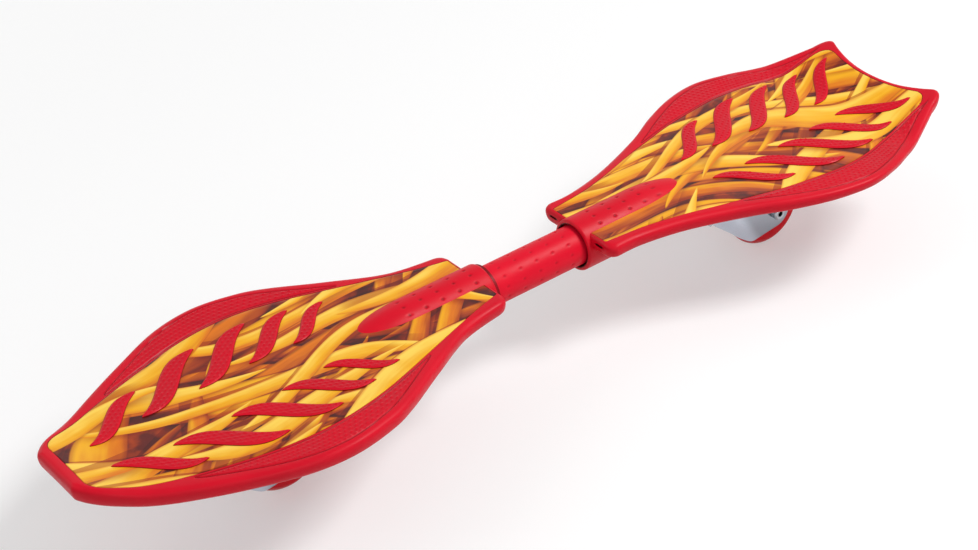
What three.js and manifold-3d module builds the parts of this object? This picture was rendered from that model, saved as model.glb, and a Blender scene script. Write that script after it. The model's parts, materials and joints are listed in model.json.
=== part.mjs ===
// Caster board: two dished foot decks joined by a sprung, twisting neck,
// each deck standing on one wheel in a swivel fork whose kingpin leans 30 degrees.
// Millimetres. +X is forward, +Y is the rider's left, +Z is up, and the ground is z = 0.

import * as THREE from 'three';
import { mergeVertices } from 'three/addons/utils/BufferGeometryUtils.js';
import Module from 'manifold-3d';

const wasm = await Module();
wasm.setup();

// Overall sizes
const boardLength = 863;
const deckWidth = 240;
const deckHeight = 108;
const frontNeckX = 42;
const rearNeckX = 64.5;
const seatGap = 0.3;
const turnGap = 0.5;
const overrun = 6;

// Deck shells
const deckSkin = 4;
const rimWall = 3.2;
const rimRoll = 13;
const rimDepthMost = 17;
const neckCorner = 7;
const dishDepth = 4.4;
const ribThickness = 2.4;
const ribInset = 3;
const panelThickness = 0.9;
const leafRise = 1.4;
const stripRise = 0.5;
const stripMargin = 2.6;
const stripBorder = 7;
const slotLength = 8;
const slotHeight = 1.6;
const slotDepth = 2.4;
const slotDrop = 5;

// Neck
const housingRadius = 23.4;
const axisDrop = 16.8;
const bootRadius = 17.8;
const bootEngagement = 9;
const tubeRadius = 15.2;
const tubeWall = 2.6;
const frontTubeDepth = 58;
const rearTubeDepth = 62;
const frontHousingReach = 116.5;
const rearHousingReach = 110;
const housingNose = 46;
const frontCollar = 6.3;
const rearCollar = 4.5;
const rearMouthRadius = 19.6;
const bushLength = 16;
const bushInset = 12;
const barRadius = 5;
const socketRadius = 12;
const socketLength = 22;
const socketScrewRadius = 3;
const socketHeadRadius = 5;
const socketHeadHeight = 3.5;

// Casters
const casterSink = 29.07;
const casterShares = { wheel: 0.962878, core: 0.506778, head: 0.838718, trail: 0.415558 };
const tyreWidth = 24;
const tyreCrown = 13;
const coreWidth = 23;
const frontKingpinX = 305.8;
const rearKingpinX = -216.5;
const kingpinLean = 30;
const plateLength = 58;
const plateWidth = 56;
const plateThickness = 4;
const wedgeMargin = 2;
const plateScrewRadius = 3;
const plateScrewDepth = 6.5;
const plateScrewHead = 5;
const plateScrewHeadHeight = 2.6;
const plateScrewInset = 7;
const raceRadius = 24;
const raceThickness = 2;
const ballRadius = 1.6;
const ballCircle = 18;
const forkHeadRadius = 28;
const forkSheet = 3;
const forkHalfWidth = 18.5;
const noseSetback = 2;
const legEndRadius = 16;
const kingpinRadius = 5;
const kingpinHead = 8;
const kingpinHeadHeight = 6;
const nutPocket = 10;
const bearingRadius = 11;
const bearingWidth = 7;
const bearingBore = 4.3;
const spacerRadius = 6;
const sleeveRadius = 4;
const axleRadius = 3;
const axleHead = 6;
const axleHeadHeight = 6;
const axleSocket = 2.6;
const axleSocketDepth = 3;

// Face counts
const roundSides = 16;
const pinSides = 8;
const hexSides = 6;
const tyreSides = 26;
const housingSides = 20;

// Finishes
const finish = {
  deck: { color: 0xdc1c38, roughness: 0.42, metalness: 0 },
  panel: { color: 0xe0a030, roughness: 0.3, metalness: 0 },
  boot: { color: 0xd81c34, roughness: 0.5, metalness: 0 },
  steel: { color: 0xb8bcc0, roughness: 0.35, metalness: 1 },
  zinc: { color: 0x8c9094, roughness: 0.4, metalness: 1 },
  chrome: { color: 0xdfe4e8, roughness: 0.16, metalness: 1 },
  nylon: { color: 0x24262a, roughness: 0.6, metalness: 0 },
  tyre: { color: 0xc81f2c, roughness: 0.45, metalness: 0 },
  blackBolt: { color: 0x1c1c1e, roughness: 0.45, metalness: 1 },
};

// Values that follow from the sizes above
const halfLength = boardLength / 2;
const halfWidth = deckWidth / 2;
const casterHeight = deckHeight - casterSink;
const wheelRadius = casterShares.wheel * casterHeight / 2;
const coreRadius = casterShares.core * casterHeight / 2;
const headDrop = casterShares.head * casterHeight;
const trail = casterShares.trail * casterHeight;
const axisZ = deckHeight - axisDrop;
const recessDepth = panelThickness + seatGap;
const lean = THREE.MathUtils.degToRad(kingpinLean);
const boreRadius = tubeRadius + seatGap;

// A deck is drawn by its distance s from the neck edge and its distance y from the middle.
// Tables hold [share of the deck's length, share of its half width], and the rim's depth is
// [share of the deck's length, share of the greatest depth].
const frontDeck = {
  side: 1,
  neckX: frontNeckX,
  length: halfLength - frontNeckX,
  sideShares: [
    [0.128, 0.461], [0.243, 0.655], [0.352, 0.856], [0.42, 0.944], [0.52, 0.999],
    [0.62, 0.951], [0.73, 0.796], [0.826, 0.634], [0.89, 0.51], [0.94, 0.41],
  ],
  neckShare: 0.367,
  tipShares: [0.985, 0.32],
  endShares: [1, 0.22],
  endCentreShare: 1,
  rimDepthShares: [[0, 0.82], [0.45, 0.94], [0.65, 0.84], [1, 1]],
  panelNeckShares: [0.009, 0.278],
  panelShares: [
    [0.065, 0.327], [0.144, 0.412], [0.223, 0.502], [0.302, 0.592], [0.381, 0.672], [0.461, 0.722],
    [0.539, 0.732], [0.618, 0.703], [0.694, 0.642], [0.773, 0.565], [0.85, 0.477], [0.937, 0.352],
  ],
  panelTipShares: [0.973, 0.295],
  panelEndShares: [0.973, 0.22],
  panelEndCentreShare: 0.972,
  dip: 2.5,
  dipShares: [0.42, 0.76],
  kickShare: 0.89,
  kickSlope: 0.28,
  kickEase: 12,
  leafWidthShare: 0.175,
  leafShares: [
    [0.902, 0.135, 0.744, 0.462], [0.776, 0.193, 0.584, 0.589], [0.644, 0.197, 0.46, 0.593],
    [0.526, 0.197, 0.368, 0.527], [0.423, 0.179, 0.2945, 0.4525],
  ],
  stripShares: [0.24, 0.797],
  spineShares: [0.1, 0.9],
  stationShares: [-0.03, 0.42, 0.59, 0.76, 0.87, 0.93, 1.03],
  collar: frontCollar,
  reach: frontHousingReach,
};

const rearDeck = {
  side: -1,
  neckX: rearNeckX,
  length: halfLength - rearNeckX,
  sideShares: [
    [0.09, 0.396], [0.203, 0.475], [0.349, 0.649], [0.45, 0.81], [0.55, 0.93], [0.645, 0.974],
    [0.735, 0.922], [0.8, 0.85], [0.837, 0.806], [0.884, 0.741], [0.955, 0.64],
  ],
  neckShare: 0.37,
  tipShares: [1.006, 0.6],
  endShares: [0.998, 0.53],
  endCentreShare: 0.962,
  rimDepthShares: [[0, 0.82], [0.35, 0.79], [0.6, 0.65], [0.8, 0.65], [1, 0.85]],
  panelNeckShares: [0.0098, 0.29],
  panelShares: [
    [0.034, 0.3], [0.118, 0.33], [0.202, 0.394], [0.286, 0.475], [0.371, 0.546], [0.452, 0.611],
    [0.537, 0.656], [0.621, 0.687], [0.682, 0.682], [0.738, 0.656], [0.797, 0.61], [0.853, 0.575],
    [0.92, 0.558],
  ],
  panelTipShares: [0.969, 0.545],
  panelEndShares: [0.967, 0.44],
  panelEndCentreShare: 0.947,
  dip: 4.3,
  dipShares: [0.17, 0.74],
  kickShare: 0.837,
  kickSlope: 0.32,
  kickEase: 8,
  leafWidthShare: 0.165,
  leafShares: [
    [0.372, 0.171, 0.529, 0.53], [0.473, 0.175, 0.668, 0.598], [0.587, 0.154, 0.774, 0.564],
    [0.699, 0.128, 0.858, 0.504], [0.794, 0.108, 0.942, 0.44],
  ],
  stripShares: [0.355, 0.955],
  spineShares: [0.1, 0.8],
  stationShares: [-0.03, 0.17, 0.36, 0.55, 0.74, 0.815, 0.86, 1.03],
  collar: rearCollar,
  reach: rearHousingReach,
};

// The rolled rim, from its inner edge over the top and down to its foot, as
// [share of the roll's width inwards, share of the rim's depth down]
const rimShares = [[1, 0], [0.3, 0.04], [0.03, 0.22], [0.02, 0.55], [0.14, 0.85], [0.36, 1]];
const acrossShares = [0.55];
const sheetShares = [-1.06, -0.8, -0.45, -0.12, 0.12, 0.45, 0.8, 1.06];
const dishPower = 2.5;

// Where the ribs' rungs meet the middle, as shares of a deck's length
const rungShares = [0.3, 0.5, 0.85];
const rungTurn = Math.PI / 6;

// How a leaf is drawn: its slant, how full it is, how much its middle line sweeps,
// and how much longer its opening in the panel is
const leafSlantShare = 0.6;
const leafFullShare = 0.8;
const leafSweepShare = 0.7;
const leafTipShare = 3;
const leafSteps = 4;
const stripFullShare = 0.4;
const stripSteps = 7;
const housingSteps = 3;

// The housing's far tip, as shares of the axis's depth below the deck: [radius, reach]
const housingTipShares = [[0.7, 0.5], [0, 0.65]];
const screwHeadShares = [0.7, 0.4];
const axleHeadShares = [0.8, 0.6];
const legFrontTurn = -70;
const legBackTurn = -180;
const legBackShares = [1.04, 0.6];

// The fork's lower edge from its nose to its side, as [share of half width, share of the head's drop]
const noseEdgeShares = [
  [0.9, 0.533], [0.811, 0.579], [0.632, 0.698], [0.476, 0.837], [0.184, 1.002], [-0.038, 1.054],
];
const weldShare = 0.001;

// Solids from geometry, and geometry from solids
function solid(geometry) {
  const bare = new THREE.BufferGeometry();
  const source = geometry.index ? geometry.toNonIndexed() : geometry;
  bare.setAttribute('position', source.getAttribute('position').clone());
  const merged = mergeVertices(bare, weldShare * seatGap);
  const points = merged.getAttribute('position').array;
  const corners = merged.index.array;
  const kept = [];
  let volume = 0;
  const corner = (i) => new THREE.Vector3().fromArray(points, 3 * i);
  for (let i = 0; i < corners.length; i += 3) {
    const [a, b, c] = [corners[i], corners[i + 1], corners[i + 2]];
    if (a === b || b === c || c === a) continue;
    kept.push(a, b, c);
    volume += corner(a).dot(corner(b).cross(corner(c)));
  }
  if (volume < 0) kept.reverse();
  const mesh = new wasm.Mesh({
    numProp: 3,
    vertProperties: new Float32Array(points),
    triVerts: new Uint32Array(kept),
  });
  return new wasm.Manifold(mesh);
}

function solidOf(points) {
  const geometry = new THREE.BufferGeometry();
  geometry.setAttribute('position', new THREE.Float32BufferAttribute(points, 3));
  return solid(geometry);
}

function geometryOf(body) {
  const mesh = body.getMesh();
  const geometry = new THREE.BufferGeometry();
  geometry.setAttribute('position', new THREE.BufferAttribute(mesh.vertProperties, 3));
  geometry.setIndex(new THREE.BufferAttribute(mesh.triVerts, 1));
  geometry.computeVertexNormals();
  return geometry;
}

function joined(bodies) {
  return bodies.reduce((whole, body) => whole.add(body));
}

// Revolved and drilled forms. A profile is a list of [radius, place along the axis].
function lathe(profile, sides) {
  return new THREE.LatheGeometry(profile.map(([r, a]) => new THREE.Vector2(r, a)), sides);
}

const turnZ = (profile, sides = roundSides) => lathe(profile, sides).rotateX(Math.PI / 2);
const turnX = (profile, sides = roundSides) => lathe(profile, sides).rotateZ(-Math.PI / 2);
const turnY = (profile, sides = roundSides) => lathe(profile, sides);

const rod = (radius, from, to) => [[0, from], [radius, from], [radius, to], [0, to]];

const ring = (outer, inner, from, to) => [
  [inner, from], [outer, from], [outer, to], [inner, to], [inner, from],
];

function block(length, width, height, x, y, z) {
  return new THREE.BoxGeometry(length, width, height).translate(x, y, z);
}

// Deck surface
function smooth(from, to, value) {
  return THREE.MathUtils.smoothstep(value, from, to);
}

function topZ(deck, s, y) {
  const [from, to] = deck.dipShares.map((share) => share * deck.length);
  const dip = deck.dip * smooth(from, to, s);
  const past = s - deck.kickShare * deck.length;
  const kick = deck.kickSlope * (Math.hypot(past, deck.kickEase) + past) / 2;
  const dish = dishDepth * (Math.abs(y) / halfWidth) ** dishPower;
  return deckHeight - dip + kick + dish;
}

function rimDepth(deck, s) {
  const along = THREE.MathUtils.clamp(s / deck.length, 0, 1);
  const next = Math.max(1, deck.rimDepthShares.findIndex(([at]) => at >= along));
  const [[fromAt, from], [toAt, to]] = deck.rimDepthShares.slice(next - 1, next + 1);
  return rimDepthMost * THREE.MathUtils.mapLinear(along, fromAt, toAt, from, to);
}

function place(deck, s, y, z) {
  return new THREE.Vector3(deck.side * (deck.neckX + s), y, z);
}

// Half of an outline, from the middle of the neck edge round to the middle of the far end
function halfOutline(deck, neck, sides, tip, end, centreShare, corner, fineness) {
  const at = ([along, out]) => new THREE.Vector2(along * deck.length, out * halfWidth);
  const start = at(neck);
  const turn = new THREE.Vector2(start.x, start.y - corner);
  const bend = new THREE.Vector2(start.x + corner, start.y + corner / 3);
  const tail = at(sides[sides.length - 1]);
  const finishAt = at(end);
  const centre = at([centreShare, 0]);
  const hollow = new THREE.Vector2(centre.x, finishAt.y / 2);
  const pieces = [
    [new THREE.LineCurve(new THREE.Vector2(start.x, 0), turn), 2],
    [new THREE.QuadraticBezierCurve(turn, start, bend), 2],
    [new THREE.SplineCurve([bend, ...sides.map(at)]), fineness * sides.length],
    [new THREE.QuadraticBezierCurve(tail, at(tip), finishAt), 1 + fineness],
    [new THREE.QuadraticBezierCurve(finishAt, hollow, centre), 2],
  ];
  const points = [pieces[0][0].getPoint(0)];
  for (const [curve, count] of pieces) points.push(...curve.getPoints(count).slice(1));
  return points;
}

function closedOutline(half) {
  const inner = half.slice(1, -1);
  const mirrored = inner.map((p) => new THREE.Vector2(p.x, -p.y)).reverse();
  return [...half, ...mirrored];
}

const deckOutline = (deck, fineness = 1) => closedOutline(halfOutline(
  deck, [0, deck.neckShare], deck.sideShares, deck.tipShares, deck.endShares,
  deck.endCentreShare, neckCorner, fineness));

const panelOutline = (deck) => closedOutline(halfOutline(
  deck, deck.panelNeckShares, deck.panelShares, deck.panelTipShares, deck.panelEndShares,
  deck.panelEndCentreShare, seatGap, 1));

// The line down the middle that a deck's rings shrink onto
function spinePoint(deck, p) {
  const [from, to] = deck.spineShares.map((share) => share * deck.length);
  return new THREE.Vector2(THREE.MathUtils.lerp(from, to, p.x / deck.length), 0);
}

function insetPoint(deck, p, inset) {
  const spine = spinePoint(deck, p);
  return p.clone().add(spine.sub(p).setLength(inset));
}

function lowered(deck, p, drop) {
  return place(deck, p.x, p.y, topZ(deck, p.x, p.y) - drop);
}

function rimRing(deck, outline, inset, dropOf) {
  return outline.map((p) => lowered(deck, insetPoint(deck, p, inset), dropOf(p.x)));
}

function innerRing(deck, outline, inset, share, dropOf) {
  return outline.map((p) => {
    const q = spinePoint(deck, p).lerp(insetPoint(deck, p, inset), share);
    return lowered(deck, q, dropOf(p.x));
  });
}

// A closed body through rings of points; the first and last rings are folded onto the spine
function loft(rings) {
  const points = [];
  const push = (...corners) => corners.forEach((c) => points.push(c.x, c.y, c.z));
  for (let k = 0; k + 1 < rings.length; k += 1) {
    const [upper, lower] = [rings[k], rings[k + 1]];
    for (let i = 0; i < upper.length; i += 1) {
      const j = (i + 1) % upper.length;
      push(upper[i], lower[i], lower[j]);
      push(upper[i], lower[j], upper[j]);
    }
  }
  return solidOf(points);
}

// A sheet over the whole deck that follows its top between two drops
function sheet(deck, upperDrop, lowerDropOf) {
  const edge = sheetShares.length - 1;
  const end = deck.stationShares.length - 1;
  const layer = (dropOf) => deck.stationShares.map((share) => sheetShares.map((across) => lowered(
    deck, new THREE.Vector2(share * deck.length, across * halfWidth), dropOf(share * deck.length))));
  const [top, bottom] = [layer(() => upperDrop), layer(lowerDropOf)];
  const points = [];
  const quad = (...corners) => {
    for (const i of [0, 1, 2, 0, 2, 3]) points.push(corners[i].x, corners[i].y, corners[i].z);
  };
  for (let i = 0; i < end; i += 1) {
    for (let j = 0; j < edge; j += 1) {
      quad(top[i][j], top[i + 1][j], top[i + 1][j + 1], top[i][j + 1]);
      quad(bottom[i][j], bottom[i][j + 1], bottom[i + 1][j + 1], bottom[i + 1][j]);
    }
    quad(top[i][0], bottom[i][0], bottom[i + 1][0], top[i + 1][0]);
    quad(top[i + 1][edge], bottom[i + 1][edge], bottom[i][edge], top[i][edge]);
  }
  for (let j = 0; j < edge; j += 1) {
    quad(top[0][j + 1], bottom[0][j + 1], bottom[0][j], top[0][j]);
    quad(top[end][j], bottom[end][j], bottom[end][j + 1], top[end][j + 1]);
  }
  return solidOf(points);
}

// An upright prism on an outline drawn in the deck's s and y
function prism(deck, outline) {
  const shape = new THREE.Shape(outline.map((p) => {
    const q = place(deck, p.x, p.y, 0);
    return new THREE.Vector2(q.x, q.y);
  }));
  const settings = { depth: 2 * deckHeight, bevelEnabled: false };
  return solid(new THREE.ExtrudeGeometry(shape, settings));
}

// Raised leaf: pointed at both ends, with a middle line that sweeps out in an S
function leafOutline(deck, leaf, hand, grow) {
  const [fromShare, inShare, toShare, outShare] = leaf;
  const inner = new THREE.Vector2(fromShare * deck.length, inShare * halfWidth);
  const outer = new THREE.Vector2(toShare * deck.length, outShare * halfWidth);
  const run = outer.clone().sub(inner);
  const wide = deck.leafWidthShare * run.length() / 2;
  const near = [];
  const far = [];
  for (let i = 0; i <= leafSteps; i += 1) {
    const t = i / leafSteps;
    const along = inner.x + run.x * t + Math.sign(run.x) * leafTipShare * grow * (2 * t - 1);
    const out = inner.y + run.y * THREE.MathUtils.lerp(t, smooth(0, 1, t), leafSweepShare);
    const half = wide * Math.sin(Math.PI * t) ** leafFullShare + grow;
    const slant = Math.sign(run.x) * half * leafSlantShare;
    near.push(new THREE.Vector2(along + slant, hand * (out - half)));
    far.push(new THREE.Vector2(along - slant, hand * (out + half)));
  }
  if (grow === 0) return [...near, ...far.slice(1, -1).reverse()];
  return [...near, ...far.reverse()];
}

const leafPrisms = (deck, grow) => deck.leafShares.flatMap(
  (leaf) => [1, -1].map((hand) => prism(deck, leafOutline(deck, leaf, hand, grow))));

// Grip strip: a crescent between the panel and the rim
function halfWidthAt(half, s) {
  const i = half.findIndex((p, k) => k > 0 && p.y > 0 && p.x >= s && half[k - 1].x <= s);
  const [a, b] = [half[i - 1], half[i]];
  return THREE.MathUtils.lerp(a.y, b.y, (s - a.x) / (b.x - a.x));
}

function stripOutline(deck, hand) {
  const deckHalf = deckOutline(deck);
  const panelHalf = panelOutline(deck);
  const [from, to] = deck.stripShares.map((share) => share * deck.length);
  const inner = [];
  const outer = [];
  for (let i = 0; i <= stripSteps; i += 1) {
    const s = THREE.MathUtils.lerp(from, to, i / stripSteps);
    const full = Math.sin(Math.PI * i / stripSteps) ** stripFullShare;
    const low = halfWidthAt(panelHalf, s) + stripMargin;
    const high = halfWidthAt(deckHalf, s) - stripBorder;
    inner.push(new THREE.Vector2(s, hand * low));
    const out = hand * THREE.MathUtils.lerp(low, high, full);
    if (i > 0 && i < stripSteps) outer.push(new THREE.Vector2(s, out));
  }
  return [...inner, ...outer.reverse()];
}

// The neck housing: a bullet on the twist axis, whose top shows as a hump on the deck
function housing(deck, grow) {
  const profile = [[0, -deck.collar], [housingRadius + grow, -deck.collar]];
  const straight = deck.reach - housingNose;
  for (let i = 0; i <= housingSteps; i += 1) {
    const t = i / housingSteps;
    const bulge = (housingRadius ** 2 - axisDrop ** 2) * (1 - t * t);
    profile.push([Math.sqrt(axisDrop ** 2 + bulge) + grow, straight + housingNose * t + grow]);
  }
  const [shoulder, tip] = housingTipShares;
  profile.push([shoulder[0] * axisDrop + grow, deck.reach + shoulder[1] * axisDrop]);
  profile.push([0, deck.reach + tip[1] * axisDrop]);
  return solid(alongAxis(deck, turnX(profile, housingSides)));
}

// A form drawn along X from a deck's neck edge outwards, set on the twist axis
function alongAxis(deck, geometry) {
  if (deck.side < 0) geometry.rotateZ(Math.PI);
  return geometry.translate(deck.side * deck.neckX, 0, axisZ);
}

// Caster frame: its origin is where the kingpin crosses the plate's lower face
const kingpinOf = (deck) => (deck.side > 0 ? frontKingpinX : rearKingpinX);

function casterMatrix(deck) {
  const wheel = new THREE.Vector3(-trail, 0, -headDrop).applyAxisAngle(new THREE.Vector3(0, 1, 0), lean);
  const matrix = new THREE.Matrix4().makeRotationY(lean);
  return matrix.setPosition(kingpinOf(deck), 0, wheelRadius - wheel.z);
}

const screwPlaces = [[1, 1], [1, -1], [-1, 1], [-1, -1]].map(([u, v]) => [
  u * (plateLength / 2 - plateScrewInset), v * (plateWidth / 2 - plateScrewInset)]);

// Wedge boss: level with the caster plate below, buried in the deck's skin above
function wedge(deck) {
  const matrix = casterMatrix(deck);
  const reach = plateLength / 2 + wedgeMargin;
  const low = new THREE.Vector3(reach, 0, plateThickness + seatGap).applyMatrix4(matrix);
  const high = new THREE.Vector3(-reach, 0, plateThickness + seatGap).applyMatrix4(matrix);
  const crest = deckHeight + overrun;
  const outline = [[low.x, low.z], [low.x, crest], [high.x, crest], [high.x, high.z]];
  const shape = new THREE.Shape(outline.map(([x, z]) => new THREE.Vector2(x, z)));
  const width = plateWidth + 2 * wedgeMargin;
  const geometry = new THREE.ExtrudeGeometry(shape, { depth: width, bevelEnabled: false });
  return solid(geometry.rotateX(Math.PI / 2).translate(0, width / 2, 0));
}

// The room that the ribs leave around the caster plate
function casterRoom(deck) {
  const length = plateLength + 4 * wedgeMargin;
  const face = plateThickness + seatGap;
  const room = block(length, plateWidth + 4 * wedgeMargin, headDrop, 0, 0, face - headDrop / 2);
  return solid(room.applyMatrix4(casterMatrix(deck)));
}

function wedgeHoles(deck) {
  const matrix = casterMatrix(deck);
  const bottom = plateThickness - overrun;
  const face = plateThickness + seatGap;
  const pocket = turnZ(rod(nutPocket, bottom, face + kingpinHeadHeight + 2 * seatGap), pinSides);
  const holes = screwPlaces.map(([u, v]) => turnZ(
    rod(plateScrewRadius + seatGap, bottom, face + plateScrewDepth + seatGap), pinSides).translate(u, v, 0));
  return joined([pocket, ...holes].map((geometry) => solid(geometry.applyMatrix4(matrix))));
}

// Stiffening ribs: a herringbone either side of two long ribs
function ribs(deck) {
  const bars = [];
  const tall = 2 * rimDepthMost;
  for (const hand of [1, -1]) {
    const long = new THREE.BoxGeometry(deck.length, ribThickness, tall);
    bars.push(long.translate(deck.side * (deck.neckX + deck.length / 2), hand * plateWidth / 2, deckHeight));
    for (const share of rungShares) {
      const bar = new THREE.BoxGeometry(ribThickness, halfWidth, tall);
      bar.translate(0, hand * halfWidth / 2, 0).rotateZ(hand * deck.side * rungTurn);
      bars.push(bar.translate(deck.side * (deck.neckX + share * deck.length), 0, deckHeight));
    }
  }
  return joined(bars.map(solid));
}

function deckShell(deck) {
  const outline = deckOutline(deck);
  const fine = deckOutline(deck, 2);
  const depth = (s) => rimDepth(deck, s);
  const foot = rimRoll * rimShares[rimShares.length - 1][0];
  const wholeDeck = loft([
    innerRing(deck, fine, rimRoll, 0, () => 0),
    ...acrossShares.map((share) => innerRing(deck, fine, rimRoll, share, () => 0)),
    ...rimShares.map(([inward, down]) => rimRing(deck, fine, rimRoll * inward, (s) => down * depth(s))),
    innerRing(deck, fine, foot, 0, depth),
  ]);
  const under = sheet(deck, deckSkin, () => 4 * rimDepthMost);
  const cavity = loft([
    innerRing(deck, outline, rimWall, 0, () => 0),
    rimRing(deck, outline, rimWall, () => 0),
    rimRing(deck, outline, foot + rimWall, depth),
    innerRing(deck, outline, foot + rimWall, 0, (s) => depth(s) + rimDepthMost),
  ]).intersect(under);
  const ribZone = sheet(deck, deckSkin / 2, (s) => depth(s) - ribInset);
  const ribWalls = loft([
    innerRing(deck, outline, rimWall / 2, 0, () => 0),
    rimRing(deck, outline, rimWall / 2, () => 0),
    rimRing(deck, outline, foot + rimWall / 2, depth),
    innerRing(deck, outline, foot + rimWall / 2, 0, (s) => depth(s) + rimDepthMost),
  ]);
  const above = sheet(deck, -4 * overrun, () => deckSkin / 2);
  const recess = sheet(deck, -overrun, () => recessDepth).intersect(prism(deck, panelOutline(deck)));
  const leaves = leafPrisms(deck, 0);
  const leafSheet = sheet(deck, -leafRise, () => deckSkin / 2);
  const strips = [1, -1].map((hand) => prism(deck, stripOutline(deck, hand)));
  const stripSheet = sheet(deck, -stripRise, () => deckSkin / 2);

  let shell = wholeDeck.subtract(cavity);
  shell = shell.add(ribs(deck).intersect(ribZone).intersect(ribWalls).subtract(casterRoom(deck)));
  shell = shell.add(wedge(deck).subtract(above));
  shell = shell.subtract(recess);
  shell = shell.add(joined(leaves).intersect(leafSheet)).add(joined(strips).intersect(stripSheet));
  shell = shell.add(housing(deck, 0)).subtract(wedgeHoles(deck));
  return shell.subtract(joined(neckCuts(deck)));
}

// What is cut from a deck's neck: the tube's bore, the boot's mouth, the socket's seat,
// the screw's hole, and at the rear the two slots in the end face
function neckCuts(deck) {
  const rear = deck.side < 0;
  const mouth = rear ? rearMouthRadius : bootRadius + seatGap;
  const mouthDepth = rear ? rearTubeDepth + 2 * seatGap : bootEngagement;
  const tubeDepth = rear ? rearTubeDepth : frontTubeDepth;
  const outside = -deck.collar - overrun;
  const cuts = [
    turnX(rod(mouth, outside, mouthDepth)),
    turnX(rod(boreRadius, outside, tubeDepth + seatGap)),
    turnX(rod(socketRadius + seatGap, outside, socketEnd(deck) + seatGap), pinSides),
    turnZ(rod(socketScrewRadius + seatGap, -2 * housingRadius, 0), pinSides)
      .translate(socketMiddle(deck), 0, 0),
  ].map((geometry) => solid(alongAxis(deck, geometry)));
  if (!rear) return cuts;
  for (const hand of [1, -1]) {
    const away = hand * (housingRadius + deck.neckShare * halfWidth - neckCorner) / 2;
    const x = -deck.neckX;
    cuts.push(solid(block(2 * slotDepth, slotLength, slotHeight, x, away, deckHeight - slotDrop)));
  }
  return cuts;
}

const tubeDepthOf = (deck) => (deck.side < 0 ? rearTubeDepth : frontTubeDepth);
const socketStart = (deck) => tubeDepthOf(deck) + 2 * seatGap;
const socketEnd = (deck) => socketStart(deck) + socketLength;
const socketMiddle = (deck) => (socketStart(deck) + socketEnd(deck)) / 2;

function graphicPanel(deck) {
  const trimmed = panelOutline(deck).map((p) => insetPoint(deck, p, seatGap));
  return sheet(deck, 0, () => panelThickness)
    .intersect(prism(deck, trimmed))
    .subtract(joined(leafPrisms(deck, seatGap)))
    .subtract(housing(deck, seatGap));
}

// Neck pieces, drawn along X on the twist axis
const onAxis = (geometry) => geometry.translate(0, 0, axisZ);

function neckBoot() {
  const from = -rearNeckX - bootEngagement;
  const to = frontNeckX + bootEngagement - seatGap;
  const bead = seatGap * 3;
  const profile = [
    [boreRadius, from], [bootRadius - bead, from], [bootRadius, from + bead],
    [bootRadius, to], [boreRadius, to], [boreRadius, from],
  ];
  return onAxis(turnX(profile));
}

const neckTube = () => onAxis(turnX(ring(
  tubeRadius, tubeRadius - tubeWall, -rearNeckX - rearTubeDepth, frontNeckX + frontTubeDepth)));

function torsionBar() {
  const from = -rearNeckX - socketEnd(rearDeck) + seatGap;
  const to = frontNeckX + socketEnd(frontDeck) - seatGap;
  return onAxis(turnX(rod(barRadius, from, to), pinSides));
}

function barSocket(deck) {
  const profile = ring(socketRadius, barRadius + turnGap, socketStart(deck), socketEnd(deck));
  const body = solid(alongAxis(deck, turnX(profile, pinSides)));
  const hole = turnZ(rod(socketScrewRadius + seatGap, -2 * socketRadius, 0), pinSides);
  return body.subtract(solid(alongAxis(deck, hole.translate(socketMiddle(deck), 0, 0))));
}

function socketScrew(deck) {
  const foot = -housingFoot(deck) - seatGap;
  const profile = [
    [0, foot - socketHeadHeight], [socketHeadRadius, foot - socketHeadHeight], [socketHeadRadius, foot],
    [socketScrewRadius, foot], [socketScrewRadius, -barRadius - 2 * seatGap], [0, -barRadius - 2 * seatGap],
  ];
  return alongAxis(deck, turnZ(profile, pinSides).translate(socketMiddle(deck), 0, 0));
}

// How far the housing's underside lies below the twist axis where the socket screw enters
function housingFoot(deck) {
  const t = THREE.MathUtils.clamp((socketMiddle(deck) - deck.reach + housingNose) / housingNose, 0, 1);
  return Math.sqrt(axisDrop ** 2 + (housingRadius ** 2 - axisDrop ** 2) * (1 - t * t));
}

function neckBush(from) {
  const profile = ring(rearMouthRadius - seatGap, tubeRadius + turnGap, from, from + bushLength);
  return alongAxis(rearDeck, turnX(profile));
}

// Caster pieces, drawn in the caster's own frame with the kingpin along Z
const raceTop = -seatGap;
const ballTop = raceTop - raceThickness - seatGap;
const ballMiddle = ballTop - ballRadius;
const headTop = ballMiddle - ballRadius - seatGap;
const headUnder = headTop - forkSheet;
const kingpinBore = kingpinRadius + seatGap;

function casterPlate() {
  const plate = solid(block(plateLength, plateWidth, plateThickness, 0, 0, plateThickness / 2));
  const holes = screwPlaces.map(([u, v]) => turnZ(
    rod(plateScrewRadius + seatGap, -overrun, plateThickness + overrun), pinSides).translate(u, v, 0));
  holes.push(turnZ(rod(kingpinBore, -overrun, plateThickness + overrun), pinSides));
  return plate.subtract(joined(holes.map(solid)));
}

function plateScrew(u, v) {
  const [flatShare, edgeShare] = screwHeadShares;
  const under = -seatGap;
  const profile = [
    [0, under - plateScrewHeadHeight], [plateScrewHead * flatShare, under - plateScrewHeadHeight],
    [plateScrewHead, under - plateScrewHeadHeight * edgeShare], [plateScrewHead, under],
    [plateScrewRadius, under], [plateScrewRadius, plateThickness + plateScrewDepth],
    [0, plateThickness + plateScrewDepth],
  ];
  return turnZ(profile, pinSides).translate(u, v, 0);
}

const upperRace = () => turnZ(ring(raceRadius, kingpinBore, raceTop - raceThickness, raceTop));

function ballRing() {
  const profile = [];
  const steps = 5;
  for (let i = 0; i <= steps; i += 1) {
    const a = 2 * Math.PI * i / steps;
    profile.push([ballCircle + 2 * ballRadius * Math.cos(a), ballMiddle + ballRadius * Math.sin(a)]);
  }
  return turnZ(profile);
}

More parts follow.
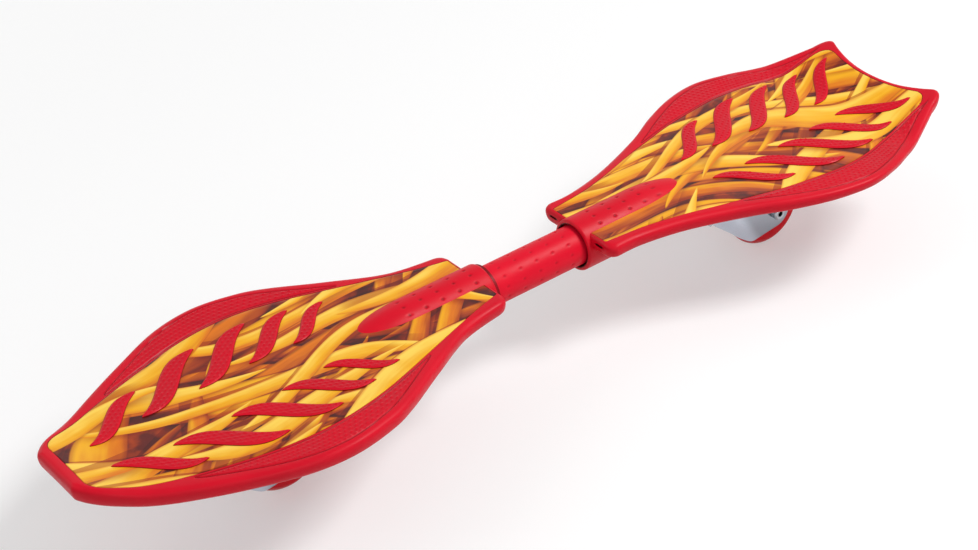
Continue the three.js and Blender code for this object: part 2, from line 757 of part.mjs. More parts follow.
function kingpinBolt() {
  const under = headUnder - turnGap;
  const top = plateThickness + seatGap + kingpinHeadHeight;
  const head = solid(turnZ(rod(kingpinHead, under - kingpinHeadHeight, under), hexSides));
  return head.add(solid(turnZ(rod(kingpinRadius, under - seatGap, top), pinSides)));
}

function kingpinNut() {
  const from = plateThickness + seatGap;
  const nut = solid(turnZ(rod(kingpinHead, from, from + kingpinHeadHeight), hexSides));
  return nut.subtract(solid(turnZ(rod(kingpinBore, 0, 2 * nutPocket), pinSides)));
}

// Fork: a hood of one sheet, round in front and open behind, with two legs to the axle
function forkSide() {
  const legFront = THREE.MathUtils.degToRad(legFrontTurn);
  const legBack = THREE.MathUtils.degToRad(legBackTurn);
  const [backOut, backDown] = legBackShares;
  const shape = new THREE.Shape();
  shape.moveTo(-forkHeadRadius, headTop - seatGap);
  shape.lineTo(forkHalfWidth, headTop - seatGap);
  for (const [out, down] of noseEdgeShares) shape.lineTo(out * forkHalfWidth, -down * headDrop);
  shape.absarc(-trail, -headDrop, legEndRadius, legFront, legBack, true);
  shape.quadraticCurveTo(-backOut * trail, -backDown * headDrop, -forkHeadRadius, headTop - seatGap);
  const settings = { depth: 2 * forkHalfWidth, bevelEnabled: false, curveSegments: 5 };
  const geometry = new THREE.ExtrudeGeometry(shape, settings);
  return solid(geometry.rotateX(Math.PI / 2).translate(0, forkHalfWidth, 0));
}

function hoodPrism(halfWide, from, to) {
  const back = -3 * forkHeadRadius;
  const shape = new THREE.Shape();
  shape.moveTo(back, -halfWide);
  shape.lineTo(-noseSetback, -halfWide);
  shape.absarc(-noseSetback, 0, halfWide, -Math.PI / 2, Math.PI / 2, false);
  shape.lineTo(back, halfWide);
  const settings = { depth: to - from, bevelEnabled: false, curveSegments: 6 };
  return new THREE.ExtrudeGeometry(shape, settings).translate(0, 0, from);
}

function fork() {
  const deep = -2 * headDrop;
  const hood = forkSide().intersect(solid(hoodPrism(forkHalfWidth, deep, forkHeadRadius)));
  const hollow = solid(hoodPrism(forkHalfWidth - forkSheet, deep, headUnder));
  const head = solid(turnZ(rod(forkHeadRadius, headUnder, headTop)));
  const pinHole = solid(turnZ(rod(kingpinBore + seatGap, -headDrop, headDrop), pinSides));
  const axleHole = turnY(rod(axleRadius + seatGap, -2 * forkHalfWidth, 2 * forkHalfWidth), pinSides);
  const outer = hood.subtract(hollow).add(head).subtract(pinHole);
  return outer.subtract(solid(axleHole.translate(-trail, 0, -headDrop)));
}

function axleBolt() {
  const [flatShare, edgeShare] = axleHeadShares;
  const under = forkHalfWidth + seatGap;
  const end = -forkHalfWidth - seatGap - axleHeadHeight;
  const profile = [
    [0, end], [axleRadius, end], [axleRadius, under], [axleHead, under],
    [axleHead, under + axleHeadHeight * edgeShare], [axleHead * flatShare, under + axleHeadHeight],
    [0, under + axleHeadHeight],
  ];
  const socket = rod(axleSocket, under + axleHeadHeight - axleSocketDepth, under + axleHeadHeight + overrun);
  return solid(turnY(profile, 2 * pinSides)).subtract(solid(turnY(socket, hexSides)));
}

function axleNut() {
  const to = -forkHalfWidth - seatGap;
  const nut = solid(turnY(rod(axleHead, to - axleHeadHeight, to), hexSides));
  return nut.subtract(solid(turnY(rod(axleRadius + seatGap, 2 * to, 0), pinSides)));
}

function axleSpacer(hand) {
  const shoulder = hand * (bearingWidth + bearingStart + seatGap);
  const end = hand * (forkHalfWidth - forkSheet - seatGap);
  const bore = axleRadius + seatGap;
  return turnY([
    [bore, hand * seatGap], [sleeveRadius, hand * seatGap], [sleeveRadius, shoulder],
    [spacerRadius, shoulder], [spacerRadius, end], [bore, end], [bore, hand * seatGap],
  ], pinSides);
}

// Wheel pieces, drawn about the axle along Y
const bearingStart = coreWidth / 2 - bearingWidth;

function tyre() {
  const steps = 7;
  const half = tyreWidth / 2;
  const spread = Math.asin(Math.min(1, half / tyreCrown));
  const profile = [[coreRadius, -half]];
  for (let i = 0; i <= steps; i += 1) {
    const a = THREE.MathUtils.lerp(-spread, spread, i / steps);
    profile.push([wheelRadius - tyreCrown + tyreCrown * Math.cos(a), tyreCrown * Math.sin(a)]);
  }
  profile.push([coreRadius, half], [coreRadius, -half]);
  return turnY(profile, tyreSides);
}

function wheelCore() {
  const half = coreWidth / 2;
  const outer = coreRadius - seatGap;
  const seat = bearingRadius + seatGap;
  const web = bearingStart - seatGap;
  const lip = spacerRadius + turnGap;
  return turnY([
    [seat, -half], [outer, -half], [outer, half], [seat, half], [seat, web], [lip, web],
    [lip, -web], [seat, -web], [seat, -half],
  ], roundSides);
}

function bearing(hand) {
  return turnY(ring(bearingRadius, bearingBore, hand * bearingStart, hand * (bearingStart + bearingWidth)));
}

function bearingSpacer() {
  const half = bearingStart - seatGap;
  return turnY(ring(spacerRadius, bearingBore, -half, half));
}

// Assembly
const group = new THREE.Group();

function add(parent, name, shape, look) {
  const body = shape.isBufferGeometry ? solid(shape) : shape;
  const mesh = new THREE.Mesh(geometryOf(body), new THREE.MeshStandardMaterial(finish[look]));
  mesh.name = name;
  parent.add(mesh);
}

function addCaster(deck, prefix) {
  const caster = new THREE.Group();
  caster.applyMatrix4(casterMatrix(deck));
  group.add(caster);
  add(caster, `${prefix}_caster_plate`, casterPlate(), 'zinc');
  screwPlaces.forEach(([u, v], i) => {
    add(caster, `${prefix}_plate_screw_${i + 1}`, plateScrew(u, v), 'zinc');
  });
  add(caster, `${prefix}_upper_race`, upperRace(), 'steel');
  add(caster, `${prefix}_ball_ring`, ballRing(), 'steel');
  add(caster, `${prefix}_kingpin_bolt`, kingpinBolt(), 'steel');
  add(caster, `${prefix}_kingpin_nut`, kingpinNut(), 'zinc');
  add(caster, `${prefix}_fork`, fork(), 'chrome');

  const wheel = new THREE.Group();
  wheel.position.set(-trail, 0, -headDrop);
  wheel.rotation.y = -lean;
  caster.add(wheel);
  add(wheel, `${prefix}_axle_bolt`, axleBolt(), 'zinc');
  add(wheel, `${prefix}_axle_nut`, axleNut(), 'zinc');
  add(wheel, `${prefix}_tyre`, tyre(), 'tyre');
  add(wheel, `${prefix}_wheel_core`, wheelCore(), 'nylon');
  add(wheel, `${prefix}_bearing_spacer`, bearingSpacer(), 'steel');
  for (const [side, hand] of [['left', 1], ['right', -1]]) {
    add(wheel, `${prefix}_bearing_${side}`, bearing(hand), 'steel');
    add(wheel, `${prefix}_axle_spacer_${side}`, axleSpacer(hand), 'steel');
  }
}

for (const [prefix, deck] of [['front', frontDeck], ['rear', rearDeck]]) {
  add(group, `${prefix}_deck_shell`, deckShell(deck), 'deck');
  add(group, `${prefix}_graphic_panel`, graphicPanel(deck), 'panel');
  add(group, `${prefix}_bar_socket`, barSocket(deck), 'steel');
  add(group, `${prefix}_socket_screw`, socketScrew(deck), 'blackBolt');
  addCaster(deck, prefix);
}
add(group, 'neck_boot', neckBoot(), 'boot');
add(group, 'neck_tube', neckTube(), 'steel');
add(group, 'torsion_bar', torsionBar(), 'steel');
add(group, 'neck_bush_outer', neckBush(bushInset), 'nylon');
add(group, 'neck_bush_inner', neckBush(rearTubeDepth - bushLength), 'nylon');

export default group;
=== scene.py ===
"""Looks of a twisting caster board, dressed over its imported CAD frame.

Metres. +X is forward, +Y is the rider's left, +Z is up, and the floor is z = 0.
"""

import json
import math

import bpy
import numpy as np
from bpy.props import FloatProperty, FloatVectorProperty, PointerProperty
from mathutils import Matrix, Vector


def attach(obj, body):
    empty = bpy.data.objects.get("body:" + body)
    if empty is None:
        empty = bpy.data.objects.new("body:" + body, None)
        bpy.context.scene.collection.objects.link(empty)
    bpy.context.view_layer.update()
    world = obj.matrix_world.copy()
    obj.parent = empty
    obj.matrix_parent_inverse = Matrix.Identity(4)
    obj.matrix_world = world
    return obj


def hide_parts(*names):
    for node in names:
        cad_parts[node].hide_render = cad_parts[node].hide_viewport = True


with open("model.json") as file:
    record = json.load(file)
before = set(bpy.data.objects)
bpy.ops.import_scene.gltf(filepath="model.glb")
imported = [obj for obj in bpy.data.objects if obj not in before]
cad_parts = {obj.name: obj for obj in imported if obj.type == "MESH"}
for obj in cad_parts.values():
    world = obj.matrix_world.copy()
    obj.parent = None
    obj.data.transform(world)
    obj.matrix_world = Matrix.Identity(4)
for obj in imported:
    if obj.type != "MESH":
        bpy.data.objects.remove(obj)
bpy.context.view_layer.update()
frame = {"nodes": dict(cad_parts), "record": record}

bl_info = {
    "name": "Caster board looks",
    "version": (1, 0, 0),
    "blender": (4, 5, 0),
    "location": "View3D > Sidebar > Board",
    "description": "Models and finishes the pieces of a twisting caster board",
    "category": "Object",
}

MM = 0.001

# The decks' tops, which are dished across
HALF_WIDTH = 120 * MM
DECK_HEIGHT = 108 * MM
DISH_DEPTH = 4.4 * MM
DISH_POWER = 2.5
NECK_CORNER = 7 * MM

# The rolled rim, its wall, and the skin it stands round
RIM_ROLL = 13 * MM
RIM_WALL = 3.2 * MM
RIM_DEPTH = 17 * MM
DECK_SKIN = 4 * MM

# The printed panel and its bed
RECESS = 1.2 * MM
PANEL_CORNER = 1.2 * MM
PANEL_GAP = 0.3 * MM
PANEL_THICKNESS = 0.9 * MM

# The grip strips: plastic left between them and the panel, and between them and the edge
STRIP_MARGIN = 2.6 * MM
STRIP_BORDER = 7 * MM

# The rear deck's end slots, from its middle plane and from its top, and half of their size
SLOT_AWAY = 30.4 * MM
SLOT_DROP = 5 * MM
SLOT_HALF = Vector((2.4, 4, 0.8)) * MM

# The neck, about the twist axis
AXIS_DROP = 16.8 * MM
AXIS_Z = DECK_HEIGHT - AXIS_DROP
HOUSING_RADIUS = 23.4 * MM
HOUSING_NOSE = 46 * MM
BOOT_RADIUS = 17.8 * MM
TUBE_RADIUS = 15.5 * MM

# The casters: the wheel's centre lies TRAIL behind and HEAD_DROP below in the caster's frame
LEAN = math.radians(30)
TRAIL = 32.8 * MM
HEAD_DROP = 66.2 * MM
WHEEL_RADIUS = 38 * MM
PLATE_LENGTH = 58 * MM
PLATE_WIDTH = 56 * MM
PLATE_FACE = 4.3 * MM
BOSS_MARGIN = 2 * MM

# The ribs under the decks
RIB_THICKNESS = 2.4 * MM
RIB_INSET = 3 * MM

# A deck is drawn by its distance s from the neck edge and its distance y from the middle.
# Tables hold (share of the deck's length, share of its half width), and the rim's depths are
# (share of the deck's length, share of the greatest depth).
FRONT = {
    "name": "front", "side": 1, "neck_x": 42 * MM, "length": 389.5 * MM, "kingpin_x": 305.8 * MM,
    "neck": (0, 0.367),
    "sides": [(0.128, 0.461), (0.243, 0.655), (0.352, 0.856), (0.42, 0.944), (0.52, 0.999),
              (0.62, 0.951), (0.73, 0.796), (0.826, 0.634), (0.89, 0.51), (0.94, 0.41)],
    "rim_depths": [(0, 0.82), (0.45, 0.94), (0.65, 0.84), (1, 1)],
    "tip": (0.985, 0.32), "end": (1, 0.22), "centre": 1,
    "panel_neck": (0.009, 0.278),
    "panel_sides": [(0.065, 0.327), (0.144, 0.412), (0.223, 0.502), (0.302, 0.592),
                    (0.381, 0.672), (0.461, 0.722), (0.539, 0.732), (0.618, 0.703),
                    (0.694, 0.642), (0.773, 0.565), (0.85, 0.477), (0.937, 0.352)],
    "panel_tip": (0.973, 0.295), "panel_end": (0.973, 0.22), "panel_centre": 0.972,
    "dip": 2.5 * MM, "dip_shares": (0.42, 0.76),
    "kick": 0.89, "kick_slope": 0.28, "kick_ease": 12 * MM,
    "leaf_width": 0.175,
    "leaves": [(0.902, 0.135, 0.744, 0.462), (0.776, 0.193, 0.584, 0.589),
               (0.644, 0.197, 0.46, 0.593), (0.526, 0.197, 0.368, 0.527),
               (0.423, 0.179, 0.2945, 0.4525)],
    "strip": (0.24, 0.797), "spine": (0.1, 0.9),
    "collar": 6.3 * MM, "reach": 116.5 * MM, "mouth": 18.1 * MM, "bore": 9 * MM,
    "dimples": [8, 25, 42, 58.5, 75],
}
REAR = {
    "name": "rear", "side": -1, "neck_x": 64.5 * MM, "length": 367 * MM, "kingpin_x": -216.5 * MM,
    "neck": (0, 0.37),
    "sides": [(0.09, 0.396), (0.203, 0.475), (0.349, 0.649), (0.45, 0.81), (0.55, 0.93),
              (0.645, 0.974), (0.735, 0.922), (0.8, 0.85), (0.837, 0.806), (0.884, 0.741),
              (0.955, 0.64)],
    "rim_depths": [(0, 0.82), (0.35, 0.79), (0.6, 0.65), (0.8, 0.65), (1, 0.85)],
    "tip": (1.006, 0.6), "end": (0.998, 0.53), "centre": 0.962,
    "panel_neck": (0.0098, 0.29),
    "panel_sides": [(0.034, 0.3), (0.118, 0.33), (0.202, 0.394), (0.286, 0.475),
                    (0.371, 0.546), (0.452, 0.611), (0.537, 0.656), (0.621, 0.687),
                    (0.682, 0.682), (0.738, 0.656), (0.797, 0.61), (0.853, 0.575),
                    (0.92, 0.558)],
    "panel_tip": (0.969, 0.545), "panel_end": (0.967, 0.44), "panel_centre": 0.947,
    "dip": 4.3 * MM, "dip_shares": (0.17, 0.74),
    "kick": 0.837, "kick_slope": 0.32, "kick_ease": 8 * MM,
    "leaf_width": 0.165,
    "leaves": [(0.372, 0.171, 0.529, 0.53), (0.473, 0.175, 0.668, 0.598),
               (0.587, 0.154, 0.774, 0.564), (0.699, 0.128, 0.858, 0.504),
               (0.794, 0.108, 0.942, 0.44)],
    "strip": (0.355, 0.955), "spine": (0.1, 0.8),
    "collar": 4.5 * MM, "reach": 110 * MM, "mouth": 19.6 * MM, "bore": 30 * MM,
    "dimples": [16.5, 33, 49.5, 66, 82.5],
}
DECKS = (FRONT, REAR)

# Points along each side of an outline, which the grip bumps need fine, and those along half
# of the neck edge and round its corner
SIDE_STEPS = 410
NECK_STEPS = 9

# The rolled rim, as (distance inwards, share of the rim's depth down)
RIM = [(0.3, 0.04), (0.03, 0.22), (0.02, 0.55), (0.14, 0.85), (0.36, 1)]


def rgb(red, green, blue):
    """A colour given as 0 to 255, in the linear values that shaders take."""
    def linear(value):
        share = value / 255
        return share / 12.92 if share <= 0.04045 else ((share + 0.055) / 1.055) ** 2.4
    return (linear(red), linear(green), linear(blue))


class BoardSizes(bpy.types.PropertyGroup):
    """Sizes that a user would change."""

    bump_height: FloatProperty(
        name="Bump height", description="How far the grip bumps stand up",
        default=0.8 * MM, unit="LENGTH")
    dimple_depth: FloatProperty(
        name="Dimple depth", description="How deep the neck's dimples are",
        default=0.9 * MM, unit="LENGTH")
    leaf_rise: FloatProperty(
        name="Leaf rise", description="How far the grip leaves stand out of the panel",
        default=1.4 * MM, unit="LENGTH")
    groove_depth: FloatProperty(
        name="Groove depth", description="Depth of the groove round each grip strip",
        default=0.9 * MM, unit="LENGTH")


class BoardColours(bpy.types.PropertyGroup):
    """Colours that a user would change."""

    plastic: FloatVectorProperty(
        name="Deck plastic", description="Colour of the deck mouldings", subtype="COLOR",
        default=rgb(212, 8, 36))
    sleeve: FloatVectorProperty(
        name="Sleeve", description="Colour of the neck's sleeve", subtype="COLOR",
        default=rgb(224, 8, 40))
    wheel: FloatVectorProperty(
        name="Wheel", description="Colour of the wheels", subtype="COLOR",
        default=rgb(230, 16, 36))
    pale: FloatVectorProperty(
        name="Print, pale", description="Palest colour of the printed panel", subtype="COLOR",
        default=rgb(255, 214, 88))
    gold: FloatVectorProperty(
        name="Print, gold", description="Main colour of the printed panel", subtype="COLOR",
        default=rgb(244, 176, 22))
    amber: FloatVectorProperty(
        name="Print, amber", description="Shaded colour of the printed panel",
        subtype="COLOR", default=rgb(222, 118, 12))
    rust: FloatVectorProperty(
        name="Print, rust", description="Dark colour of the printed panel", subtype="COLOR",
        default=rgb(164, 58, 12))
    maroon: FloatVectorProperty(
        name="Print, maroon", description="Darkest colour of the printed panel",
        subtype="COLOR", default=rgb(92, 18, 10))


def sizes():
    return bpy.context.scene.board_sizes


def colours():
    return bpy.context.scene.board_colours


# Mesh tools


def deselect():
    bpy.ops.object.select_all(action="DESELECT")


def choose(obj):
    """Selects one piece alone and makes it active."""
    deselect()
    obj.select_set(True)
    bpy.context.view_layer.objects.active = obj


def read(obj):
    """A piece's points, as an array of points by three."""
    points = np.zeros(len(obj.data.vertices) * 3)
    obj.data.vertices.foreach_get("co", points)
    return points.reshape(-1, 3)


def write(obj, points):
    obj.data.vertices.foreach_set("co", np.ascontiguousarray(points, dtype=np.float32).ravel())
    obj.data.update()


def grid(name, along, across):
    """A grid primitive of along by across faces, with each point's two indices."""
    deselect()
    bpy.ops.mesh.primitive_grid_add(x_subdivisions=along, y_subdivisions=across, size=2)
    obj = bpy.context.object
    obj.name = obj.data.name = name
    points = read(obj)
    i = np.rint((points[:, 0] + 1) / 2 * along).astype(int)
    j = np.rint((points[:, 1] + 1) / 2 * across).astype(int)
    return obj, i, j


def close(obj):
    """Merges doubled points and turns every face outwards."""
    gap = 0.004 * MM
    choose(obj)
    bpy.ops.object.mode_set(mode="EDIT")
    bpy.ops.mesh.select_all(action="SELECT")
    bpy.ops.mesh.remove_doubles(threshold=gap)
    bpy.ops.mesh.dissolve_degenerate(threshold=gap / 2)
    bpy.ops.mesh.delete_loose()
    bpy.ops.mesh.normals_make_consistent(inside=False)
    bpy.ops.object.mode_set(mode="OBJECT")
    return obj


def face_outwards(obj, hole_sides=0):
    """Turns every face outwards, once holes of up to some sides are filled."""
    choose(obj)
    bpy.ops.object.mode_set(mode="EDIT")
    bpy.ops.mesh.select_all(action="SELECT")
    if hole_sides:
        bpy.ops.mesh.fill_holes(sides=hole_sides)
    bpy.ops.mesh.normals_make_consistent(inside=False)
    bpy.ops.object.mode_set(mode="OBJECT")
    return obj


def skin(name, rings, shades=None):
    """A closed surface through rings of points, an array of rings by points by three."""
    def joined(rows):
        return np.concatenate([rows, rows[:, :1]], axis=1)
    return close(strip(name, joined(rings), None if shades is None else joined(shades)))


def strip(name, rows, shades=None):
    """An open surface through rows of points."""
    count, along = rows.shape[0], rows.shape[1]
    obj, i, j = grid(name, along - 1, count - 1)
    write(obj, rows[j, i])
    if shades is not None:
        shadow(obj, shades[j, i])
    return obj


def modify(obj, kind, **settings):
    """Adds a modifier and applies it."""
    choose(obj)
    modifier = obj.modifiers.new(kind.title(), kind)
    for key, value in settings.items():
        setattr(modifier, key, value)
    bpy.ops.object.modifier_apply(modifier=modifier.name)
    return obj


def soften(obj, width, segments=2, angle=35):
    """Rounds the edges that are sharper than an angle in degrees."""
    return modify(obj, "BEVEL", width=width, segments=segments, limit_method="ANGLE",
                  angle_limit=math.radians(angle), use_clamp_overlap=True)


def move(obj, matrix):
    """Puts a turn and a shift into the mesh."""
    obj.data.transform(matrix)
    obj.data.update()
    return obj


def join(name, pieces):
    """Joins pieces into the first one."""
    deselect()
    for piece in pieces:
        piece.select_set(True)
    bpy.context.view_layer.objects.active = pieces[0]
    bpy.ops.object.join()
    pieces[0].name = pieces[0].data.name = name
    return pieces[0]


def copy_of(obj, name):
    """A copy with its own mesh."""
    made = obj.copy()
    made.data = obj.data.copy()
    made.name = made.data.name = name
    bpy.context.scene.collection.objects.link(made)
    return made


def cut(obj, tools):
    """Cuts each closed tool out of the piece, and removes the tool."""
    for tool in tools:
        modify(obj, "BOOLEAN", operation="DIFFERENCE", solver="EXACT", object=tool)
        bpy.data.objects.remove(tool)


def turned(name, profile, sides=64, hollow=False):
    """A ring extruded and resized along Z through a profile of (radius, height)."""
    deselect()
    radius, height = profile[0]
    bpy.ops.mesh.primitive_circle_add(vertices=sides, radius=radius, fill_type="NOTHING",
                                      location=(0, 0, height))
    obj = bpy.context.object
    obj.name = obj.data.name = name
    bpy.ops.object.transform_apply(location=True, rotation=True, scale=True)
    bpy.ops.object.mode_set(mode="EDIT")
    bpy.ops.mesh.select_all(action="SELECT")
    for out, up in profile[1:]:
        bpy.ops.mesh.extrude_region_move(
            TRANSFORM_OT_translate={"value": (0, 0, up - height)})
        bpy.ops.transform.resize(value=(out / radius, out / radius, 1),
                                 center_override=(0, 0, up))
        radius, height = out, up
    if not hollow:
        bpy.ops.mesh.edge_face_add()
        bpy.ops.mesh.select_all(action="SELECT")
        bpy.ops.mesh.fill_holes(sides=sides)
    bpy.ops.object.mode_set(mode="OBJECT")
    return close(obj)


def shadow(obj, shares):
    """Keeps on each point how much painted shade darkens its colour there, as in a groove or a
    socket.
    """
    layer = obj.data.attributes.get("shadow") or obj.data.attributes.new("shadow", "FLOAT", "POINT")
    layer.data.foreach_set("value", np.asarray(shares, dtype=np.float32).ravel())


def paint(obj, slot):
    obj.data.materials.clear()
    obj.data.materials.append(finish(slot))


def dress(obj, body, slot, *nodes):
    """Shades, paints and mounts a finished piece that stands for some CAD nodes."""
    choose(obj)
    bpy.ops.object.shade_smooth_by_angle(angle=math.radians(35))
    paint(obj, slot)
    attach(obj, body)
    if nodes:
        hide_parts(*nodes)


# Deck shape


def spline(points, share):
    """Points of a smooth curve through given ones, at shares from 0 to 1 of its length."""
    points = np.array(points, float)
    last = len(points) - 1
    place = np.clip(share, 0, 1) * last
    k = np.minimum(place.astype(int), last - 1)
    t = (place - k)[:, None]
    before, start = points[np.maximum(k - 1, 0)], points[k]
    end, after = points[k + 1], points[np.minimum(k + 2, last)]
    pull_start, pull_end = (end - before) / 2, (after - start) / 2
    return ((2 * start - 2 * end + pull_start + pull_end) * t ** 3
            + (3 * end - 3 * start - 2 * pull_start - pull_end) * t ** 2
            + pull_start * t + start)


def bow(start, middle, end, count):
    """Points of a bend from start to end, pulled towards the middle."""
    t = np.linspace(0, 1, count)[:, None]
    start, middle, end = (np.array(p, float) for p in (start, middle, end))
    return (1 - t) ** 2 * start + 2 * t * (1 - t) * middle + t ** 2 * end


def smooth(low, high, value):
    """A share that eases from 0 at low to 1 at high."""
    t = np.clip((value - low) / (high - low), 0, 1)
    return t * t * (3 - 2 * t)


def dome(reach):
    """A round bump's height as a share, at a distance of 0 at its middle to 1 at its edge."""
    return np.cos(np.minimum(reach, 1) * np.pi / 2) ** 2


def bump_rows(along, across, run, pitch, radius):
    """The height, as a share, of round bumps in staggered rows."""
    row = np.rint(across / pitch)
    shift = np.where(np.mod(row, 2) == 0, 0, run / 2)
    off = np.mod(along + shift + run / 2, run) - run / 2
    return dome(np.hypot(off, across - row * pitch) / radius)


def dimple_rings(angle, height, radius, places, turns, size):
    """The depth, as a share, of dimples at places along a round piece and turns about it."""
    length, width = size
    dent = np.zeros((len(height), len(angle)))
    for place in places:
        for turn in turns:
            over = np.mod(angle - math.radians(turn) + np.pi, 2 * np.pi) - np.pi
            dent += dome(np.hypot((height - place * MM) / length, over * radius / width))
    return dent


def half_outline(deck, prefix, corner):
    """Half of an outline, from the neck edge's middle round to the far end's middle."""
    def at(shares):
        return np.array([shares[0] * deck["length"], shares[1] * HALF_WIDTH])
    neck, sides, tip, end, centre = (
        deck[prefix + key] for key in ("neck", "sides", "tip", "end", "centre"))
    start, far, middle = at(neck), at(end), at((centre, 0))
    turn = start - (0, corner)
    bend = start + (corner, corner / 3)
    dense = spline([bend, *map(at, sides)], np.linspace(0, 1, 1500))
    reach = np.linspace(dense[0, 0], dense[-1, 0], SIDE_STEPS + 1)
    side = np.column_stack([reach, np.interp(reach, dense[:, 0], dense[:, 1])])
    neck_line = np.linspace((start[0], 0), turn, NECK_STEPS)
    rest = (bow(turn, start, bend, NECK_STEPS), side, bow(side[-1], at(tip), far, 14),
            bow(far, (middle[0], far[1] / 2), middle, 16))
    return np.vstack([neck_line, *(piece[1:] for piece in rest)])


def along_side(half):
    """The stretch of half an outline between its neck corner and its tip."""
    first = 2 * NECK_STEPS - 1
    return half[first:first + SIDE_STEPS]


def whole_outline(half):
    """Both halves of an outline, as one closed ring."""
    mirrored = half[1:-1][::-1] * (1, -1)
    return np.vstack([half, mirrored])


def deck_half(deck):
    return half_outline(deck, "", NECK_CORNER)


def panel_half(deck):
    return half_outline(deck, "panel_", PANEL_CORNER)


def top_height(deck, s, y):
    """The height of the dished top, with its dip and its kick."""
    length = deck["length"]
    dip = deck["dip"] * smooth(deck["dip_shares"][0] * length, deck["dip_shares"][1] * length, s)
    past = s - deck["kick"] * length
    kick = deck["kick_slope"] * (np.hypot(past, deck["kick_ease"]) + past) / 2
    dish = DISH_DEPTH * (np.abs(y) / HALF_WIDTH) ** DISH_POWER
    return DECK_HEIGHT - dip + kick + dish


def rim_depth(deck, s):
    at, share = np.array(deck["rim_depths"]).T
    return RIM_DEPTH * np.interp(s / deck["length"], at, share)


def laid(deck, flat, drop):
    """Points of a deck at their s and y, and some way below its top."""
    s, y = flat.T
    x = deck["side"] * (deck["neck_x"] + s)
    return np.column_stack([x, y, top_height(deck, s, y) - drop])


def spine_points(deck, flat):
    """The points of the middle line that the outline's points draw in to."""
    start, end = (share * deck["length"] for share in deck["spine"])
    s = start + (end - start) * flat[:, 0] / deck["length"]
    return np.column_stack([s, np.zeros(len(flat))])


def inset(deck, flat, distance):
    """Points moved inwards, towards the spine."""
    way = spine_points(deck, flat) - flat
    way /= np.linalg.norm(way, axis=1)[:, None]
    return flat + way * np.reshape(distance, (-1, 1))


def strip_relief(deck, flat):
    """How high the grip strips stand at each point over the plain top, and the painted shade in
    their grooves and between their bumps.
    """
    groove, crease, groove_shade, end_round = 0.65 * MM, 0.7 * MM, 0.6, 2 * MM
    border, field_start, field_full = 1.6 * MM, 0.4 * MM, 1.4 * MM
    field_rise, field_shade, fullness = 0.25 * MM, 0.09, 0.4
    first_row, run, pitch, bump_radius = (size * MM for size in (3.1, 4.8, 4.2, 1.55))
    s, y = flat[:, 0], np.abs(flat[:, 1])
    edge, inner = along_side(deck_half(deck)).T, along_side(panel_half(deck)).T
    start, end = (share * deck["length"] for share in deck["strip"])
    along = (s - start) / (end - start)
    full = np.sin(np.pi * np.clip(along, 0, 1)) ** fullness
    low = np.interp(s, *inner) + STRIP_MARGIN
    top = low + (np.interp(s, *edge) - STRIP_BORDER - low) * full
    lay = np.cos(np.arctan(np.interp(s, inner[0], np.gradient(inner[1], inner[0]))))
    gap = np.minimum(y - low, top - y) * lay
    ends = np.minimum(s - start, end - s)
    inside = (along > 0) & (along < 1)
    gap = np.where(inside, np.minimum(gap, ends + end_round), -np.abs(ends) - MM)
    relief = -sizes().groove_depth * np.exp(-(gap / groove) ** 2)
    relief += field_rise * smooth(field_start, field_full, gap)
    bump = bump_rows(s / lay - start, (y - low) * lay - first_row, run, pitch, bump_radius)
    field = gap > border
    # Painted shade: darker in the groove round each strip and on the field between its bumps
    shade = groove_shade * np.exp(-(gap / crease) ** 2) + field_shade * field * (1 - bump)
    return relief + sizes().bump_height * bump * field, shade


